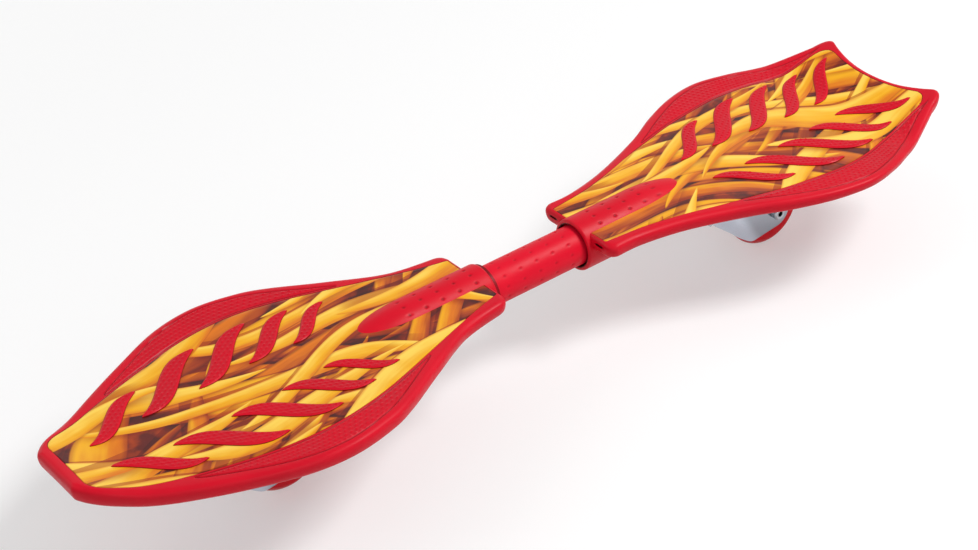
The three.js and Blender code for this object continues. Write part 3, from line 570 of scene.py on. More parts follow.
def deck_skin(deck):
    """The moulding's outer surface, rolled rim and underside, as one closed skin."""
    outer, panel = whole_outline(deck_half(deck)), whole_outline(panel_half(deck))
    depth = rim_depth(deck, outer[:, 0])
    roll = np.minimum(RIM_ROLL, 0.8 * np.linalg.norm(outer - panel, axis=1))
    bed_shade, lip_shade, lip_round, foot_round = 0.8, 0.5, 0.3 * MM, 1.2 * MM
    top_rings, shoulder_rings, side_rings, shoulder_drop = 26, 14, 11, 0.05
    rings, shades = [], []

    def add(flat, drop, shade=0.0):
        rings.append(laid(deck, flat, drop))
        shades.append(np.broadcast_to(shade, len(flat)))

    # The panel's bed and its lip, with painted shade in the gap round the panel
    middle = spine_points(deck, panel)
    for share in (0, 0.4, 0.8, 1):
        add(middle + (panel - middle) * share, RECESS, bed_shade)
    add(panel, lip_round, bed_shade)
    lip = inset(deck, panel, -lip_round)
    add(lip, 0, lip_shade)

    # The top, with its grip strips, out to where the rim starts to roll
    brim = inset(deck, outer, roll)
    for share in np.linspace(0, 1, top_rings + 1)[1:]:
        flat = lip + (brim - lip) * share
        relief, shade = strip_relief(deck, flat)
        add(flat, -relief, shade)

    # The rolled rim, whose shoulder still carries the strips
    corners = [np.column_stack([roll, np.zeros(len(roll))])]
    for inward, down in RIM:
        cap = 0.6 * roll if inward == RIM[0][0] else np.full(len(roll), RIM_ROLL)
        distance = np.minimum(inward * RIM_ROLL, cap)
        corners.append(np.column_stack([distance, np.full(len(roll), down)]))
    corners = np.array(corners)
    first = 1 / (len(corners) - 1)
    steps = np.concatenate([np.linspace(0, first, shoulder_rings)[1:],
                            np.linspace(first, 1, side_rings + 1)[1:]])
    curve = spline(corners.reshape(len(corners), -1), steps).reshape(len(steps), -1, 2)
    for profile in curve:
        flat = inset(deck, outer, profile[:, 0])
        relief, shade = strip_relief(deck, flat)
        on_top = profile[:, 1] < shoulder_drop
        add(flat, profile[:, 1] * depth - relief * on_top, shade * on_top)

    # Under the rim's foot, up its inner wall, and under the deck
    foot = RIM[-1][0] * RIM_ROLL
    for inward, down in ((1, 1.006), (RIM_WALL / MM - 1, 1.006), (RIM_WALL / MM, 0.985)):
        add(inset(deck, outer, foot + inward * MM), down * depth)
    for share in (0.7, 0.35, 0.08, 0):
        distance = RIM_WALL + foot * share
        drop = DECK_SKIN + (depth - DECK_SKIN) * share
        add(inset(deck, outer, distance + (0 if share else foot_round)), drop)
    rim_foot = inset(deck, outer, RIM_WALL + foot_round)
    middle = spine_points(deck, outer)
    for share in (0.8, 0.5, 0.2, 0):
        add(middle + (rim_foot - middle) * share, DECK_SKIN)
    return skin(deck["name"] + "_skin", np.array(rings), np.array(shades))


def along_axis(deck, obj):
    """Stands a piece drawn up Z from the neck edge along the twist axis."""
    turn = Matrix.Rotation(math.pi / 2, 4, "Y")
    if deck["side"] < 0:
        turn = Matrix.Rotation(math.pi, 4, "Z") @ turn
    shift = Matrix.Translation((deck["side"] * deck["neck_x"], 0, AXIS_Z))
    return move(obj, shift @ turn)


def housing_profile(deck):
    """The housing's (radius, distance from the neck edge), from its nose back into its bore."""
    straight = deck["reach"] - HOUSING_NOSE
    lip, mouth_round, axis = 2.2 * MM, 0.5 * MM, 0.2 * MM
    points = [(axis, deck["reach"] + 0.65 * AXIS_DROP)]
    points.append((0.7 * AXIS_DROP, deck["reach"] + 0.5 * AXIS_DROP))
    for t in np.linspace(1, 0, 22):
        bulge = (HOUSING_RADIUS ** 2 - AXIS_DROP ** 2) * (1 - t * t)
        points.append((math.sqrt(AXIS_DROP ** 2 + bulge), straight + HOUSING_NOSE * t))
    for height in np.arange(straight, 2 * MM, -MM)[1:]:
        points.append((HOUSING_RADIUS, height))
    for turn in np.linspace(0, 90, 7):
        angle = math.radians(turn)
        points.append((HOUSING_RADIUS - lip * (1 - math.cos(angle)),
                       -deck["collar"] + lip * (1 - math.sin(angle))))
    return points + [
        (deck["mouth"] + mouth_round, -deck["collar"]),
        (deck["mouth"], -deck["collar"] + mouth_round),
        (deck["mouth"], deck["bore"]), (axis, deck["bore"])]


def neck_housing(deck):
    """The bullet round the twist axis, with rows of dimples over its top, painted shade in them,
    and painted shade in the gap at its mouth.
    """
    sides, dimple_size, dimple_turns = 180, (2.5 * MM, 2 * MM), (-33, -11, 11, 33)
    darkest_gap, mouth_rings, dimple_shade = 1.8 * MM, 4, 0.7
    profile = np.array(housing_profile(deck))
    angle = 2 * np.pi * np.arange(sides) / sides
    radius, height = profile[:, :1], profile[:, 1:]
    on_top = (np.arange(len(profile)) > 1)[:, None] & (height > 0) & (radius > deck["mouth"])
    dent = on_top * dimple_rings(angle, height, radius, deck["dimples"], dimple_turns,
                                 dimple_size)
    radius = radius - sizes().dimple_depth * dent
    rings = np.stack([-radius * np.cos(angle), radius * np.sin(angle),
                      np.broadcast_to(height, dent.shape)], axis=-1)
    # Painted shade in the dimples, and in the gap between the mouth and the sleeve
    shades = dimple_shade * dent
    shades[-mouth_rings:] = min(1, (deck["mouth"] - BOOT_RADIUS) / darkest_gap)
    return along_axis(deck, skin(deck["name"] + "_housing", rings, shades))


def caster_matrix(deck):
    """Where the caster's own frame stands: its Z is the kingpin, at the plate's lower face."""
    turn = Matrix.Rotation(LEAN, 4, "Y")
    wheel = turn @ Vector((-TRAIL, 0, -HEAD_DROP))
    return Matrix.Translation((deck["kingpin_x"], 0, WHEEL_RADIUS - wheel.z)) @ turn


def box(name, low, high):
    """A cube primitive between two corners."""
    deselect()
    low, high = Vector(low), Vector(high)
    bpy.ops.mesh.primitive_cube_add(size=1, location=(low + high) / 2)
    obj = bpy.context.object
    obj.name = obj.data.name = name
    obj.scale = high - low
    bpy.ops.object.transform_apply(location=True, rotation=True, scale=True)
    return obj


def wedge_boss(deck):
    """The block that carries the caster plate, level with it below."""
    edge_round, thinnest = 2 * MM, MM
    matrix = caster_matrix(deck)
    reach, width = PLATE_LENGTH / 2 + BOSS_MARGIN, PLATE_WIDTH / 2 + BOSS_MARGIN
    obj = box(deck["name"] + "_boss", (-1, -1, -1), (1, 1, 1))
    points = read(obj)
    for k, (x, y, z) in enumerate(points):
        foot = matrix @ Vector((math.copysign(reach, x), 0, PLATE_FACE))
        if z > 0:
            s = deck["side"] * foot.x - deck["neck_x"]
            foot.z = top_height(deck, s, 0.0) - DECK_SKIN / 2
            foot.z = max(foot.z, (matrix @ Vector((reach, 0, PLATE_FACE))).z + thinnest)
        points[k] = (foot.x, math.copysign(width, y), foot.z)
    write(obj, points)
    return soften(close(obj), edge_round, 3)


def rib_floor(deck, points):
    """Keeps the ribs' lower edges clear of the caster plate."""
    margin = 5 * MM
    matrix = caster_matrix(deck)
    back = matrix.inverted()
    for point in points:
        local = back @ Vector(point)
        away = max(abs(local.x) - PLATE_LENGTH / 2, abs(local.y) - PLATE_WIDTH / 2)
        if away < margin and local.z < PLATE_FACE:
            face = matrix @ Vector((local.x, local.y, PLATE_FACE))
            point[2] = face.z - math.tan(LEAN) * (point[0] - face.x)
    return points


def rib(deck, start, way):
    """A thin wall under the deck, from a point along a way in s and y, inside the rim."""
    from_side, from_neck, from_end, taper, lowest = 5.5 * MM, 5 * MM, 0.02, 0.8, 0.1 * MM
    travel = np.linspace(0, deck["length"], 240)[:, None]
    flat = np.array(start) + travel * np.array(way)
    half = np.interp(flat[:, 0], *along_side(deck_half(deck)).T) - from_side
    fits = (np.abs(flat[:, 1]) < half) & (flat[:, 0] > from_neck)
    fits &= flat[:, 0] < (deck["centre"] - from_end) * deck["length"]
    flat = flat[fits]
    across = np.array([-way[1], way[0]]) * RIB_THICKNESS / 2
    rows = []
    for offset, low in ((across, 0), (across * taper, 1), (-across * taper, 1), (-across, 0)):
        line = flat + offset
        top = laid(deck, line, DECK_SKIN / 2)
        if low:
            points = rib_floor(deck, laid(deck, line, rim_depth(deck, line[:, 0]) - RIB_INSET))
            points[:, 2] = np.minimum(points[:, 2], top[:, 2] - lowest)
        rows.append(points if low else top)
    return face_outwards(close(strip("rib", np.array(rows + rows[:1]))), 8)


def end_slots(deck, body):
    """Cuts the two slots in the rear deck's neck edge, and paints shade inside them."""
    slack, slot_shade = 0.05 * MM, 0.95
    tools = []
    for hand in (1, -1):
        middle = Vector((-deck["neck_x"], hand * SLOT_AWAY, DECK_HEIGHT - SLOT_DROP))
        tools.append(box("slot", middle - SLOT_HALF, middle + SLOT_HALF))
    cut(body, tools)
    x, y, z = read(body).T
    away = (x + deck["neck_x"], np.abs(y) - SLOT_AWAY, z - DECK_HEIGHT + SLOT_DROP)
    inside = np.all([np.abs(a) < size + slack for a, size in zip(away, SLOT_HALF)], axis=0)
    shades = np.zeros(len(inside))
    body.data.attributes["shadow"].data.foreach_get("value", shades)
    # Painted shade inside the slots
    shadow(body, np.where(inside, slot_shade, shades))


def deck_moulding(deck):
    """One deck: its skin cut for the neck, with housing, boss and ribs."""
    hole_radius, hole_start, hole_end = 21.5 * MM, -9 * MM, 60 * MM
    body = deck_skin(deck)
    bore = turned("bore", [(hole_radius, hole_start), (hole_radius, hole_end)])
    cut(body, [along_axis(deck, bore)])
    if deck["side"] < 0:
        end_slots(deck, body)
    pieces = [body, neck_housing(deck), wedge_boss(deck)]
    for hand in (1, -1):
        slant = (-0.5, hand * 0.866)
        pieces.append(rib(deck, (0, hand * PLATE_WIDTH / 2), (1, 0)))
        pieces += [rib(deck, (share * deck["length"], 0), slant) for share in (0.3, 0.5, 0.85)]
    return join(deck["name"] + "_deck_moulding", pieces)


def printed_sheet(deck):
    """The thin panel that fills the deck's recess."""
    edge_round, edge_drop, top_rings = 0.25 * MM, 0.15 * MM, 24
    edge = inset(deck, whole_outline(panel_half(deck)), PANEL_GAP)
    middle = spine_points(deck, edge)
    rings = [laid(deck, middle + (edge - middle) * share, 0)
             for share in np.linspace(0, 1, top_rings)[:-1]]
    rings += [laid(deck, inset(deck, edge, edge_round), 0), laid(deck, edge, edge_drop)]
    rings += [laid(deck, middle + (edge - middle) * share, PANEL_THICKNESS)
              for share in (1, 0.8, 0.6, 0.4, 0.2, 0)]
    return skin(deck["name"] + "_printed_sheet", np.array(rings))


def leaf(deck, shares, hand):
    """One grip leaf: pointed at both ends, crowned, and bumpy on top, with painted shade along its
    edges and between its bumps.
    """
    sway, fullness, lean, root, edge_rise = 0.12, 0.8, 0.6, -0.5 * MM, 0.45
    crest, pitch, bump_radius = 0.86, 4.4 * MM, 1.5 * MM
    skirt_shade, field_shade = 0.75, 0.09
    start, near, end, far = shares
    length = deck["length"]
    inner = np.array([start * length, near * HALF_WIDTH])
    run = np.array([end * length, far * HALF_WIDTH]) - inner
    wide = deck["leaf_width"] * np.linalg.norm(run) / 2
    t = np.linspace(0, 1, 81)
    shaped = t - sway * np.sin(2 * np.pi * t)
    middle = np.column_stack([inner[0] + run[0] * t, inner[1] + run[1] * shaped])
    half = wide * np.sin(np.pi * t) ** fullness
    way = np.array([-math.copysign(lean, run[0]), 1.0])
    rows, shades = [], []
    across = [-1, -1, -0.94, *np.linspace(-crest, crest, 25), 0.94, 1, 1]
    for k, v in enumerate(across):
        flat = middle + np.outer(half * v, way)
        crown = smooth(1.0, 0.72, abs(v)) * smooth(0, 1.3 * MM, half)
        up = sizes().leaf_rise * (edge_rise + (1 - edge_rise) * crown)
        # Painted shade along the leaf's edges, and further down between its bumps
        shade = np.full(len(t), skirt_shade if abs(v) == 1 else 0.0)
        if k in (0, len(across) - 1):
            up = np.full(len(t), root)
        elif abs(v) <= crest:
            p, q = ((flat - inner) @ np.array([(0.82, -0.57), (0.57, 0.82)])).T
            clear = smooth(0.8 * MM, 1.8 * MM, half * (1 - abs(v)))
            bump = bump_rows(p, q, pitch, pitch, bump_radius)
            up = up + sizes().bump_height * bump * clear
            shade = field_shade * (1 - bump) * clear
        rows.append(laid(deck, flat * (1, hand), -up))
        shades.append(shade)
    return close(strip("leaf", np.array(rows + rows[:1]), np.array(shades + shades[:1])))


def neck_sleeve():
    """The dimpled sleeve over the neck tube, with painted shade in its dimples."""
    start, end, sides, chamfer, ring_gap = -73.5 * MM, 50.7 * MM, 144, 0.9 * MM, 1.05 * MM
    places, turns = (21.4, 4.5, -12.4, -29.3, -46.2), range(15, 375, 30)
    dimple_size, dimple_shade = (2.3 * MM, 1.7 * MM), 0.4
    angle = 2 * np.pi * np.arange(sides) / sides
    outer = np.arange(start + chamfer, end, ring_gap)
    height = np.concatenate([[start, start], outer, [end, end, start]])[:, None]
    radius = np.full((len(height), 1), BOOT_RADIUS)
    radius[[0, -1, -2]] = TUBE_RADIUS
    radius[1] = BOOT_RADIUS - chamfer
    dent = dimple_rings(angle, height, radius, places, turns, dimple_size)
    dent *= radius == BOOT_RADIUS
    radius = radius - 0.8 * sizes().dimple_depth * dent
    rings = np.stack([np.broadcast_to(height, dent.shape), radius * np.sin(angle),
                      AXIS_Z + radius * np.cos(angle)], axis=-1)
    # Painted shade in the dimples
    return skin("neck_sleeve", rings, dimple_shade * dent)


# Caster pieces, drawn in the caster's own frame


def fork_hood():
    """A hood of one sheet, open behind, with two legs to the axle. Its sides carry painted shade,
    darker than the nose, standing in for the darker reflection they show.
    """
    half, head, under, leg, setback = (size * MM for size in (18.5, 28, -9.1, 16, 2))
    bore, sheet, edge, side_shade = 6 * MM, 3 * MM, 0.4 * MM, 0.5
    top = under + sheet / 2
    turns = np.radians(np.linspace(-70, -176, 60))
    sole = leg * np.column_stack([np.cos(turns), np.sin(turns)]) - (TRAIL, HEAD_DROP)
    arch = [(16.65, -35.3), (15, -38.3), (11.7, -46.2), (8.8, -55.4), (3.4, -66.3), (-0.7, -69.8)]
    lower = np.vstack([spline(arch, np.linspace(0, 1, 60)) * MM, sole])[::-1]
    upper = bow(sole[-1], (-1.04 * TRAIL, -0.6 * HEAD_DROP), (-head, top), 60)
    heel = -TRAIL + leg * np.cos(np.radians(np.linspace(176, 90, 32)))
    side = np.concatenate([heel, np.linspace(-TRAIL, -setback, 36)[1:]])
    round_front = np.linspace(-np.pi / 2, np.pi / 2, 49)[1:-1]
    path = np.vstack([
        np.column_stack([side, np.full(len(side), -half)]),
        np.column_stack([half * np.cos(round_front) - setback, half * np.sin(round_front)]),
        np.column_stack([side, np.full(len(side), half)])[::-1]])
    low = np.interp(path[:, 0], lower[:, 0], lower[:, 1])
    high = np.interp(path[:, 0], upper[:, 0], upper[:, 1])
    rows = [np.column_stack([path, high + (low - high) * t]) for t in np.linspace(0, 1, 30)]
    hood = face_outwards(strip("hood", np.array(rows)))
    nose = max(hood.data.polygons, key=lambda face: face.center.x)
    modify(hood, "SOLIDIFY", thickness=sheet, offset=-1 if nose.normal.x > 0 else 1)
    soften(close(hood), 0.6 * MM, 2, 50)
    disc = turned("head", [
        (bore, under), (head - 1.4 * MM, under), (head - edge, under + edge),
        (head, under + 1.4 * MM), (head - 0.3 * MM, under + sheet - edge),
        (head - 1.2 * MM, under + sheet), (bore, under + sheet), (bore, under)], 72, hollow=True)
    fork = join("fork", [hood, disc])
    # Painted reflection: the sides darken away from the nose, as side plates that mirror the shade
    # under the deck
    shadow(fork, side_shade * smooth(4 * MM, -10 * MM, read(fork)[:, 0]))
    return fork


def wheel_turn(obj):
    """Turns a piece drawn up Z so that it lies along the axle."""
    axle = Matrix.Translation((-TRAIL, 0, -HEAD_DROP))
    return move(obj, axle @ Matrix.Rotation(-math.pi / 2, 4, "X"))


def tyre():
    """The cast tyre, round across its tread."""
    half, crown, core, edge = (size * MM for size in (12, 13, 20, 1))
    spread = math.asin(half / crown)
    points = [(core, -half + edge), (core + edge, -half)]
    points += [(WHEEL_RADIUS - crown + crown * math.cos(a), crown * math.sin(a))
               for a in np.linspace(-spread, spread, 25)]
    points += [(core + edge, half), (core, half - edge), (core, -half + edge)]
    obj = turned("tyre", points, 112, hollow=True)
    return wheel_turn(soften(obj, 0.8 * MM, 3, 40))


def wheel_core():
    """The hard core inside the tyre, with a seat for a bearing on each side of its web."""
    half, outer, seat, web, bore, edge = (size * MM for size in (11.5, 19.7, 11.3, 4.2, 6.5, 0.6))
    obj = turned("core", [
        (seat, -half), (outer - edge, -half), (outer, -half + edge), (outer, half - edge),
        (outer - edge, half), (seat, half), (seat, web), (bore, web), (bore, -web),
        (seat, -web), (seat, -half)], 72, hollow=True)
    return wheel_turn(obj)


def bearing(hand):
    """A shielded ball bearing, with its two races and its dished shields."""
    outer, bore, edge, dish = 11 * MM, 4.3 * MM, 0.3 * MM, 0.5 * MM
    inner_race, shield_in, shield_out, outer_race = 6 * MM, 6.2 * MM, 9 * MM, 9.2 * MM
    low, high = sorted((hand * 4.5 * MM, hand * 11.5 * MM))
    obj = turned("bearing", [
        (bore, low), (inner_race, low), (shield_in, low + dish), (shield_out, low + dish),
        (outer_race, low), (outer - edge, low), (outer, low + edge), (outer, high - edge),
        (outer - edge, high), (outer_race, high), (shield_out, high - dish),
        (shield_in, high - dish), (inner_race, high), (bore, high), (bore, low)], 56, hollow=True)
    return wheel_turn(obj)


def axle_bolt():
    """A round-head bolt with a hexagon socket."""
    under, end, shank, head, up = (size * MM for size in (18.8, -24.8, 3, 6, 6))
    top, chamfer, edge, near = under + up, 0.5 * MM, 0.3 * MM, 0.1 * MM
    socket_radius, socket_corner, socket_depth = 2.7 * MM, 2.6 * MM, 3 * MM
    obj = turned("axle", [
        (shank - chamfer, end), (shank, end + chamfer), (shank, under), (head - 0.2 * MM, under),
        (head, under + edge), (head, under + 0.6 * up), (0.93 * head, under + 0.87 * up),
        (0.8 * head, top), (socket_radius + edge, top), (socket_radius, top - edge),
        (socket_radius, top - socket_depth)], 48)
    points = read(obj)
    radius = np.hypot(points[:, 0], points[:, 1])
    socket = (points[:, 2] > top - socket_depth - near) & (radius < socket_radius + near)
    angle = np.mod(np.arctan2(points[:, 1], points[:, 0]), np.pi / 3) - np.pi / 6
    flat = socket_corner * math.cos(math.pi / 6) / np.cos(angle)
    scale = np.where(socket, flat / np.maximum(radius, 1e-9), 1)
    points[:, :2] *= scale[:, None]
    write(obj, points)
    # Painted shade inside the hexagon socket
    shadow(obj, socket)
    return wheel_turn(obj)


# Materials


def new_group(name, inputs, outputs):
    """A node group with named sockets, and its two end nodes."""
    group = bpy.data.node_groups.new(name, "ShaderNodeTree")
    for socket, kind, value in inputs:
        item = group.interface.new_socket(name=socket, in_out="INPUT", socket_type=kind)
        if value is not None:
            item.default_value = value
    for socket, kind in outputs:
        group.interface.new_socket(name=socket, in_out="OUTPUT", socket_type=kind)
    return group, group.nodes.new("NodeGroupInput"), group.nodes.new("NodeGroupOutput")


def node(tree, kind, settings=None, **inputs):
    """A node with its settings, and inputs given by name as values or sockets."""
    made = tree.nodes.new(kind)
    for key, value in (settings or {}).items():
        setattr(made, key, value)
    for key, value in inputs.items():
        feed(tree, made.inputs[key.replace("_", " ")], value)
    return made


def feed(tree, socket, value):
    """Links a socket, or sets a plain value."""
    if isinstance(value, bpy.types.NodeSocket):
        tree.links.new(value, socket)
    else:
        socket.default_value = value


def maths(tree, operation, first, second=0.5, clamp=False):
    made = tree.nodes.new("ShaderNodeMath")
    made.operation = operation
    made.use_clamp = clamp
    feed(tree, made.inputs[0], first)
    feed(tree, made.inputs[1], second)
    return made.outputs[0]


def ramp(tree, value, low, high, to_low=0.0, to_high=1.0, kind="SMOOTHSTEP"):
    """A value carried from one range to another."""
    made = tree.nodes.new("ShaderNodeMapRange")
    made.interpolation_type = kind
    for k, item in enumerate((value, low, high, to_low, to_high)):
        feed(tree, made.inputs[k], item)
    return made.outputs[0]


def mixed(tree, share, first, second, kind="MIX"):
    """A share between two colours."""
    made = tree.nodes.new("ShaderNodeMix")
    made.data_type = "RGBA"
    made.blend_type = kind
    feed(tree, made.inputs[0], share)
    feed(tree, made.inputs[6], first)
    feed(tree, made.inputs[7], second)
    return made.outputs[2]


def vector_maths(tree, operation, first, second):
    made = tree.nodes.new("ShaderNodeVectorMath")
    made.operation = operation
    feed(tree, made.inputs[0], first)
    feed(tree, made.inputs[1], second)
    return made.outputs[0]


def streak_layer():
    """A layer of long pointed streaks that flow one way and shade what is under them."""
    found = bpy.data.node_groups.get("Streak layer")
    if found:
        return found
    number, colour = "NodeSocketFloat", "NodeSocketColor"
    group, given, out = new_group("Streak layer", [
        ("Vector", "NodeSocketVector", None), ("Under", colour, None), ("Light", colour, None),
        ("Middle", colour, None), ("Dark", colour, None), ("Angle", number, 0.0),
        ("Length", number, 0.1), ("Pitch", number, 0.02), ("Cover", number, 0.5),
        ("Seed", number, 0.0)], [("Color", colour)])
    take = given.outputs

    def times(first, second):
        return maths(group, "MULTIPLY", first, second)

    def plus(first, second):
        return maths(group, "ADD", first, second)

    # The streaks' own frame, shifted by the seed and bent a little
    shift = node(group, "ShaderNodeCombineXYZ", X=take["Seed"], Y=times(take["Seed"], 0.37), Z=0.0)
    moved = vector_maths(group, "ADD", take["Vector"], shift.outputs[0])
    warp = node(group, "ShaderNodeTexNoise", Vector=moved, Scale=5.0, Detail=0.0)
    bend = vector_maths(group, "MULTIPLY", vector_maths(
        group, "SUBTRACT", warp.outputs["Color"], (0.5, 0.5, 0.5)), (0.15, 0.15, 0.0))
    bent = vector_maths(group, "ADD", moved, bend)
    turned_way = node(group, "ShaderNodeVectorRotate", {"rotation_type": "Z_AXIS"},
                      Vector=bent, Angle=take["Angle"]).outputs[0]
    flat = node(group, "ShaderNodeSeparateXYZ", Vector=turned_way)

    # Rows of cells, each row with its own start, and each cell with a streak or none
    across = maths(group, "DIVIDE", flat.outputs[1], take["Pitch"])
    row = maths(group, "FLOOR", across)
    row_chance = node(group, "ShaderNodeTexWhiteNoise", {"noise_dimensions": "1D"}, W=row)
    along = plus(maths(group, "DIVIDE", flat.outputs[0], take["Length"]),
                 times(row_chance.outputs["Value"], 9.0))
    place = maths(group, "FLOOR", along)
    cell = node(group, "ShaderNodeCombineXYZ", X=row, Y=place, Z=take["Seed"])
    chance = node(group, "ShaderNodeTexWhiteNoise", {"noise_dimensions": "3D"},
                  Vector=cell.outputs[0])
    draw = node(group, "ShaderNodeSeparateColor", Color=chance.outputs["Color"]).outputs
    present = maths(group, "LESS_THAN", chance.outputs["Value"], take["Cover"])
    u = maths(group, "SUBTRACT", maths(group, "SUBTRACT", along, place), 0.5)
    v = maths(group, "SUBTRACT", maths(group, "SUBTRACT", across, row), 0.5)
    v = plus(v, times(u, ramp(group, draw[0], 0.0, 1.0, -0.12, 0.12, "LINEAR")))

    # The streak's half width, which runs to a point at both ends
    tail = maths(group, "POWER", maths(group, "ABSOLUTE", times(u, 2.02)), 2.2)
    half = times(maths(group, "SUBTRACT", 1.0, tail, clamp=True),
                 ramp(group, draw[1], 0.0, 1.0, 0.36, 0.46, "LINEAR"))
    side = maths(group, "DIVIDE", v, maths(group, "MAXIMUM", half, 0.02))
    reach = maths(group, "ABSOLUTE", side)
    mask = times(times(present, ramp(group, reach, 1.04, 0.96)), ramp(group, half, 0.02, 0.05))

    # Its tone: lit from one side, brushed along, patchy, and dark at its edges
    stretched = vector_maths(group, "MULTIPLY", turned_way, (26.0, 210.0, 1.0))
    brushed = node(group, "ShaderNodeTexNoise", Vector=stretched, Scale=1.0, Detail=2.0)
    patch = node(group, "ShaderNodeTexNoise", Vector=moved, Scale=38.0, Detail=1.0)
    tone = plus(times(side, -0.34), times(draw[2], 0.34))
    tone = plus(tone, times(brushed.outputs[0], 0.5))
    tone = plus(tone, times(patch.outputs[0], 0.34))
    lower = mixed(group, ramp(group, tone, 0.1, 0.5), take["Dark"], take["Middle"])
    body = mixed(group, ramp(group, tone, 0.42, 0.92), lower, take["Light"])
    body = mixed(group, ramp(group, reach, 0.72, 1.0, 0.0, 0.55), body, take["Dark"])

    # The warm shadow that it throws on what is under it
    fall = times(ramp(group, v, 0.49, times(half, 0.9)), ramp(group, half, 0.0, 0.2))
    fall = times(present, times(fall, ramp(group, maths(group, "ABSOLUTE", u), 0.49, 0.42)))
    dim = [maths(group, "SUBTRACT", 1.0, times(fall, share)) for share in (0.38, 0.62, 0.75)]
    warm = node(group, "ShaderNodeCombineColor", Red=dim[0], Green=dim[1], Blue=dim[2])
    under = mixed(group, 1.0, take["Under"], warm.outputs[0], "MULTIPLY")
    feed(group, out.inputs["Color"], mixed(group, mask, under, body))
    return group


def surface_grain():
    """Fine moulded or cast grain: a height, and a slow mottle for tone and gloss."""
    found = bpy.data.node_groups.get("Surface grain")
    if found:
        return found
    number = "NodeSocketFloat"
    group, given, out = new_group("Surface grain", [
        ("Vector", "NodeSocketVector", None), ("Grain", number, 1800.0),
        ("Mottle scale", number, 24.0)], [("Height", number), ("Mottle", number)])
    take = given.outputs
    fine = node(group, "ShaderNodeTexNoise", Vector=take["Vector"], Scale=take["Grain"],
                Detail=2.0, Roughness=0.6)
    pits = node(group, "ShaderNodeTexVoronoi", {"feature": "SMOOTH_F1"},
                Vector=take["Vector"], Scale=take["Grain"])
    height = maths(group, "ADD", maths(group, "MULTIPLY", fine.outputs[0], 0.6),
                   maths(group, "MULTIPLY", pits.outputs["Distance"], 0.4))
    slow = node(group, "ShaderNodeTexNoise", Vector=take["Vector"],
                Scale=take["Mottle scale"], Detail=4.0, Roughness=0.55)
    feed(group, out.inputs["Height"], height)
    feed(group, out.inputs["Mottle"], ramp(group, slow.outputs[0], 0.3, 0.7))
    return group


def material(name):
    """A new material, with its nodes and its shader."""
    made = bpy.data.materials.new(name)
    made.use_nodes = True
    tree = made.node_tree
    shader = tree.nodes["Principled BSDF"]
    return made, tree, shader


def use_group(tree, group, **inputs):
    """A node group placed in a material with its own values."""
    return node(tree, "ShaderNodeGroup", {"node_tree": group}, **inputs)


def shade_of(colour, factor):
    return (colour[0] * factor, colour[1] * factor, colour[2] * factor, 1)


def grained(name, colour, rough, grain, depth, metal=0.0, spread=0.06):
    """A finish with fine grain, slow changes of tone and gloss, and painted shade where a piece's
    points carry the shadow attribute.
    """
    found = bpy.data.materials.get(name)
    if found:
        return found
    painted_shade_tone, smoother, rougher, relief = 0.12, 0.05, 0.06, 0.3 * MM
    made, tree, shader = material(name)
    where = tree.nodes.new("ShaderNodeTexCoord").outputs["Object"]
    grains = use_group(tree, surface_grain(), Vector=where, Grain=grain)
    mottle = grains.outputs["Mottle"]
    # Painted shade: the shadow attribute darkens the colour in grooves, dimples, slots and sockets,
    # and on the fork's sides
    hollow = node(tree, "ShaderNodeAttribute", {"attribute_name": "shadow"}).outputs["Fac"]
    clear = mixed(tree, mottle, shade_of(colour, 1 - spread), shade_of(colour, 1 + spread / 2))
    dark = shade_of(colour, painted_shade_tone)
    feed(tree, shader.inputs["Base Color"], mixed(tree, hollow, clear, dark))
    feed(tree, shader.inputs["Roughness"],
         ramp(tree, mottle, 0.0, 1.0, rough - smoother, rough + rougher))
    shader.inputs["Metallic"].default_value = metal
    shader.inputs["Specular IOR Level"].default_value = 0.5 if metal else 0.16
    bump = node(tree, "ShaderNodeBump", Strength=depth, Distance=relief,
                Height=grains.outputs["Height"])
    feed(tree, shader.inputs["Normal"], bump.outputs[0])
    return made


def printed_plastic():
    """The panel's print: gold, amber and rust streaks that cross over a dark ground."""
    found = bpy.data.materials.get("Printed panel")
    if found:
        return found
    made, tree, shader = material("Printed panel")
    hue = colours()
    maroon, rust, amber, gold, pale = (
        (*tint, 1) for tint in (hue.maroon, hue.rust, hue.amber, hue.gold, hue.pale))
    where = tree.nodes.new("ShaderNodeTexCoord").outputs["Object"]
    ground = node(tree, "ShaderNodeTexNoise", Vector=where, Scale=45.0, Detail=3.0)
    colour = mixed(tree, ramp(tree, ground.outputs[0], 0.4, 0.62), maroon, rust)
    # Light, middle and dark tint, angle, length, pitch, cover and seed, from the lowest layer up
    layers = [
        (amber, rust, maroon, 0.65, 0.26, 0.031, 0.85, 3.1),
        (amber, rust, maroon, -0.3, 0.26, 0.029, 0.6, 5.3),
        (gold, amber, rust, 0.5, 0.28, 0.028, 0.6, 7.7),
        (gold, amber, rust, -0.55, 0.26, 0.027, 0.45, 9.2),
        (pale, gold, amber, 0.35, 0.3, 0.027, 0.48, 12.4),
        (pale, gold, amber, -0.3, 0.3, 0.026, 0.38, 21.9),
        (pale, gold, amber, 0.05, 0.28, 0.028, 0.33, 33.3),
    ]
    for light, middle, dark, angle, length, pitch, cover, seed in layers:
        layer = use_group(tree, streak_layer(), Vector=where, Under=colour, Light=light,
                          Middle=middle, Dark=dark, Angle=angle, Length=length, Pitch=pitch,
                          Cover=cover, Seed=seed)
        colour = layer.outputs["Color"]
    feed(tree, shader.inputs["Base Color"], colour)
    shader.inputs["Specular IOR Level"].default_value = 0.25
    grains = use_group(tree, surface_grain(), Vector=where, Grain=900.0)
    feed(tree, shader.inputs["Roughness"],
         ramp(tree, grains.outputs["Mottle"], 0.0, 1.0, 0.34, 0.44))
    bump = node(tree, "ShaderNodeBump", Strength=0.05, Distance=0.2 * MM,
                Height=grains.outputs["Height"])
    feed(tree, shader.inputs["Normal"], bump.outputs[0])
    return made


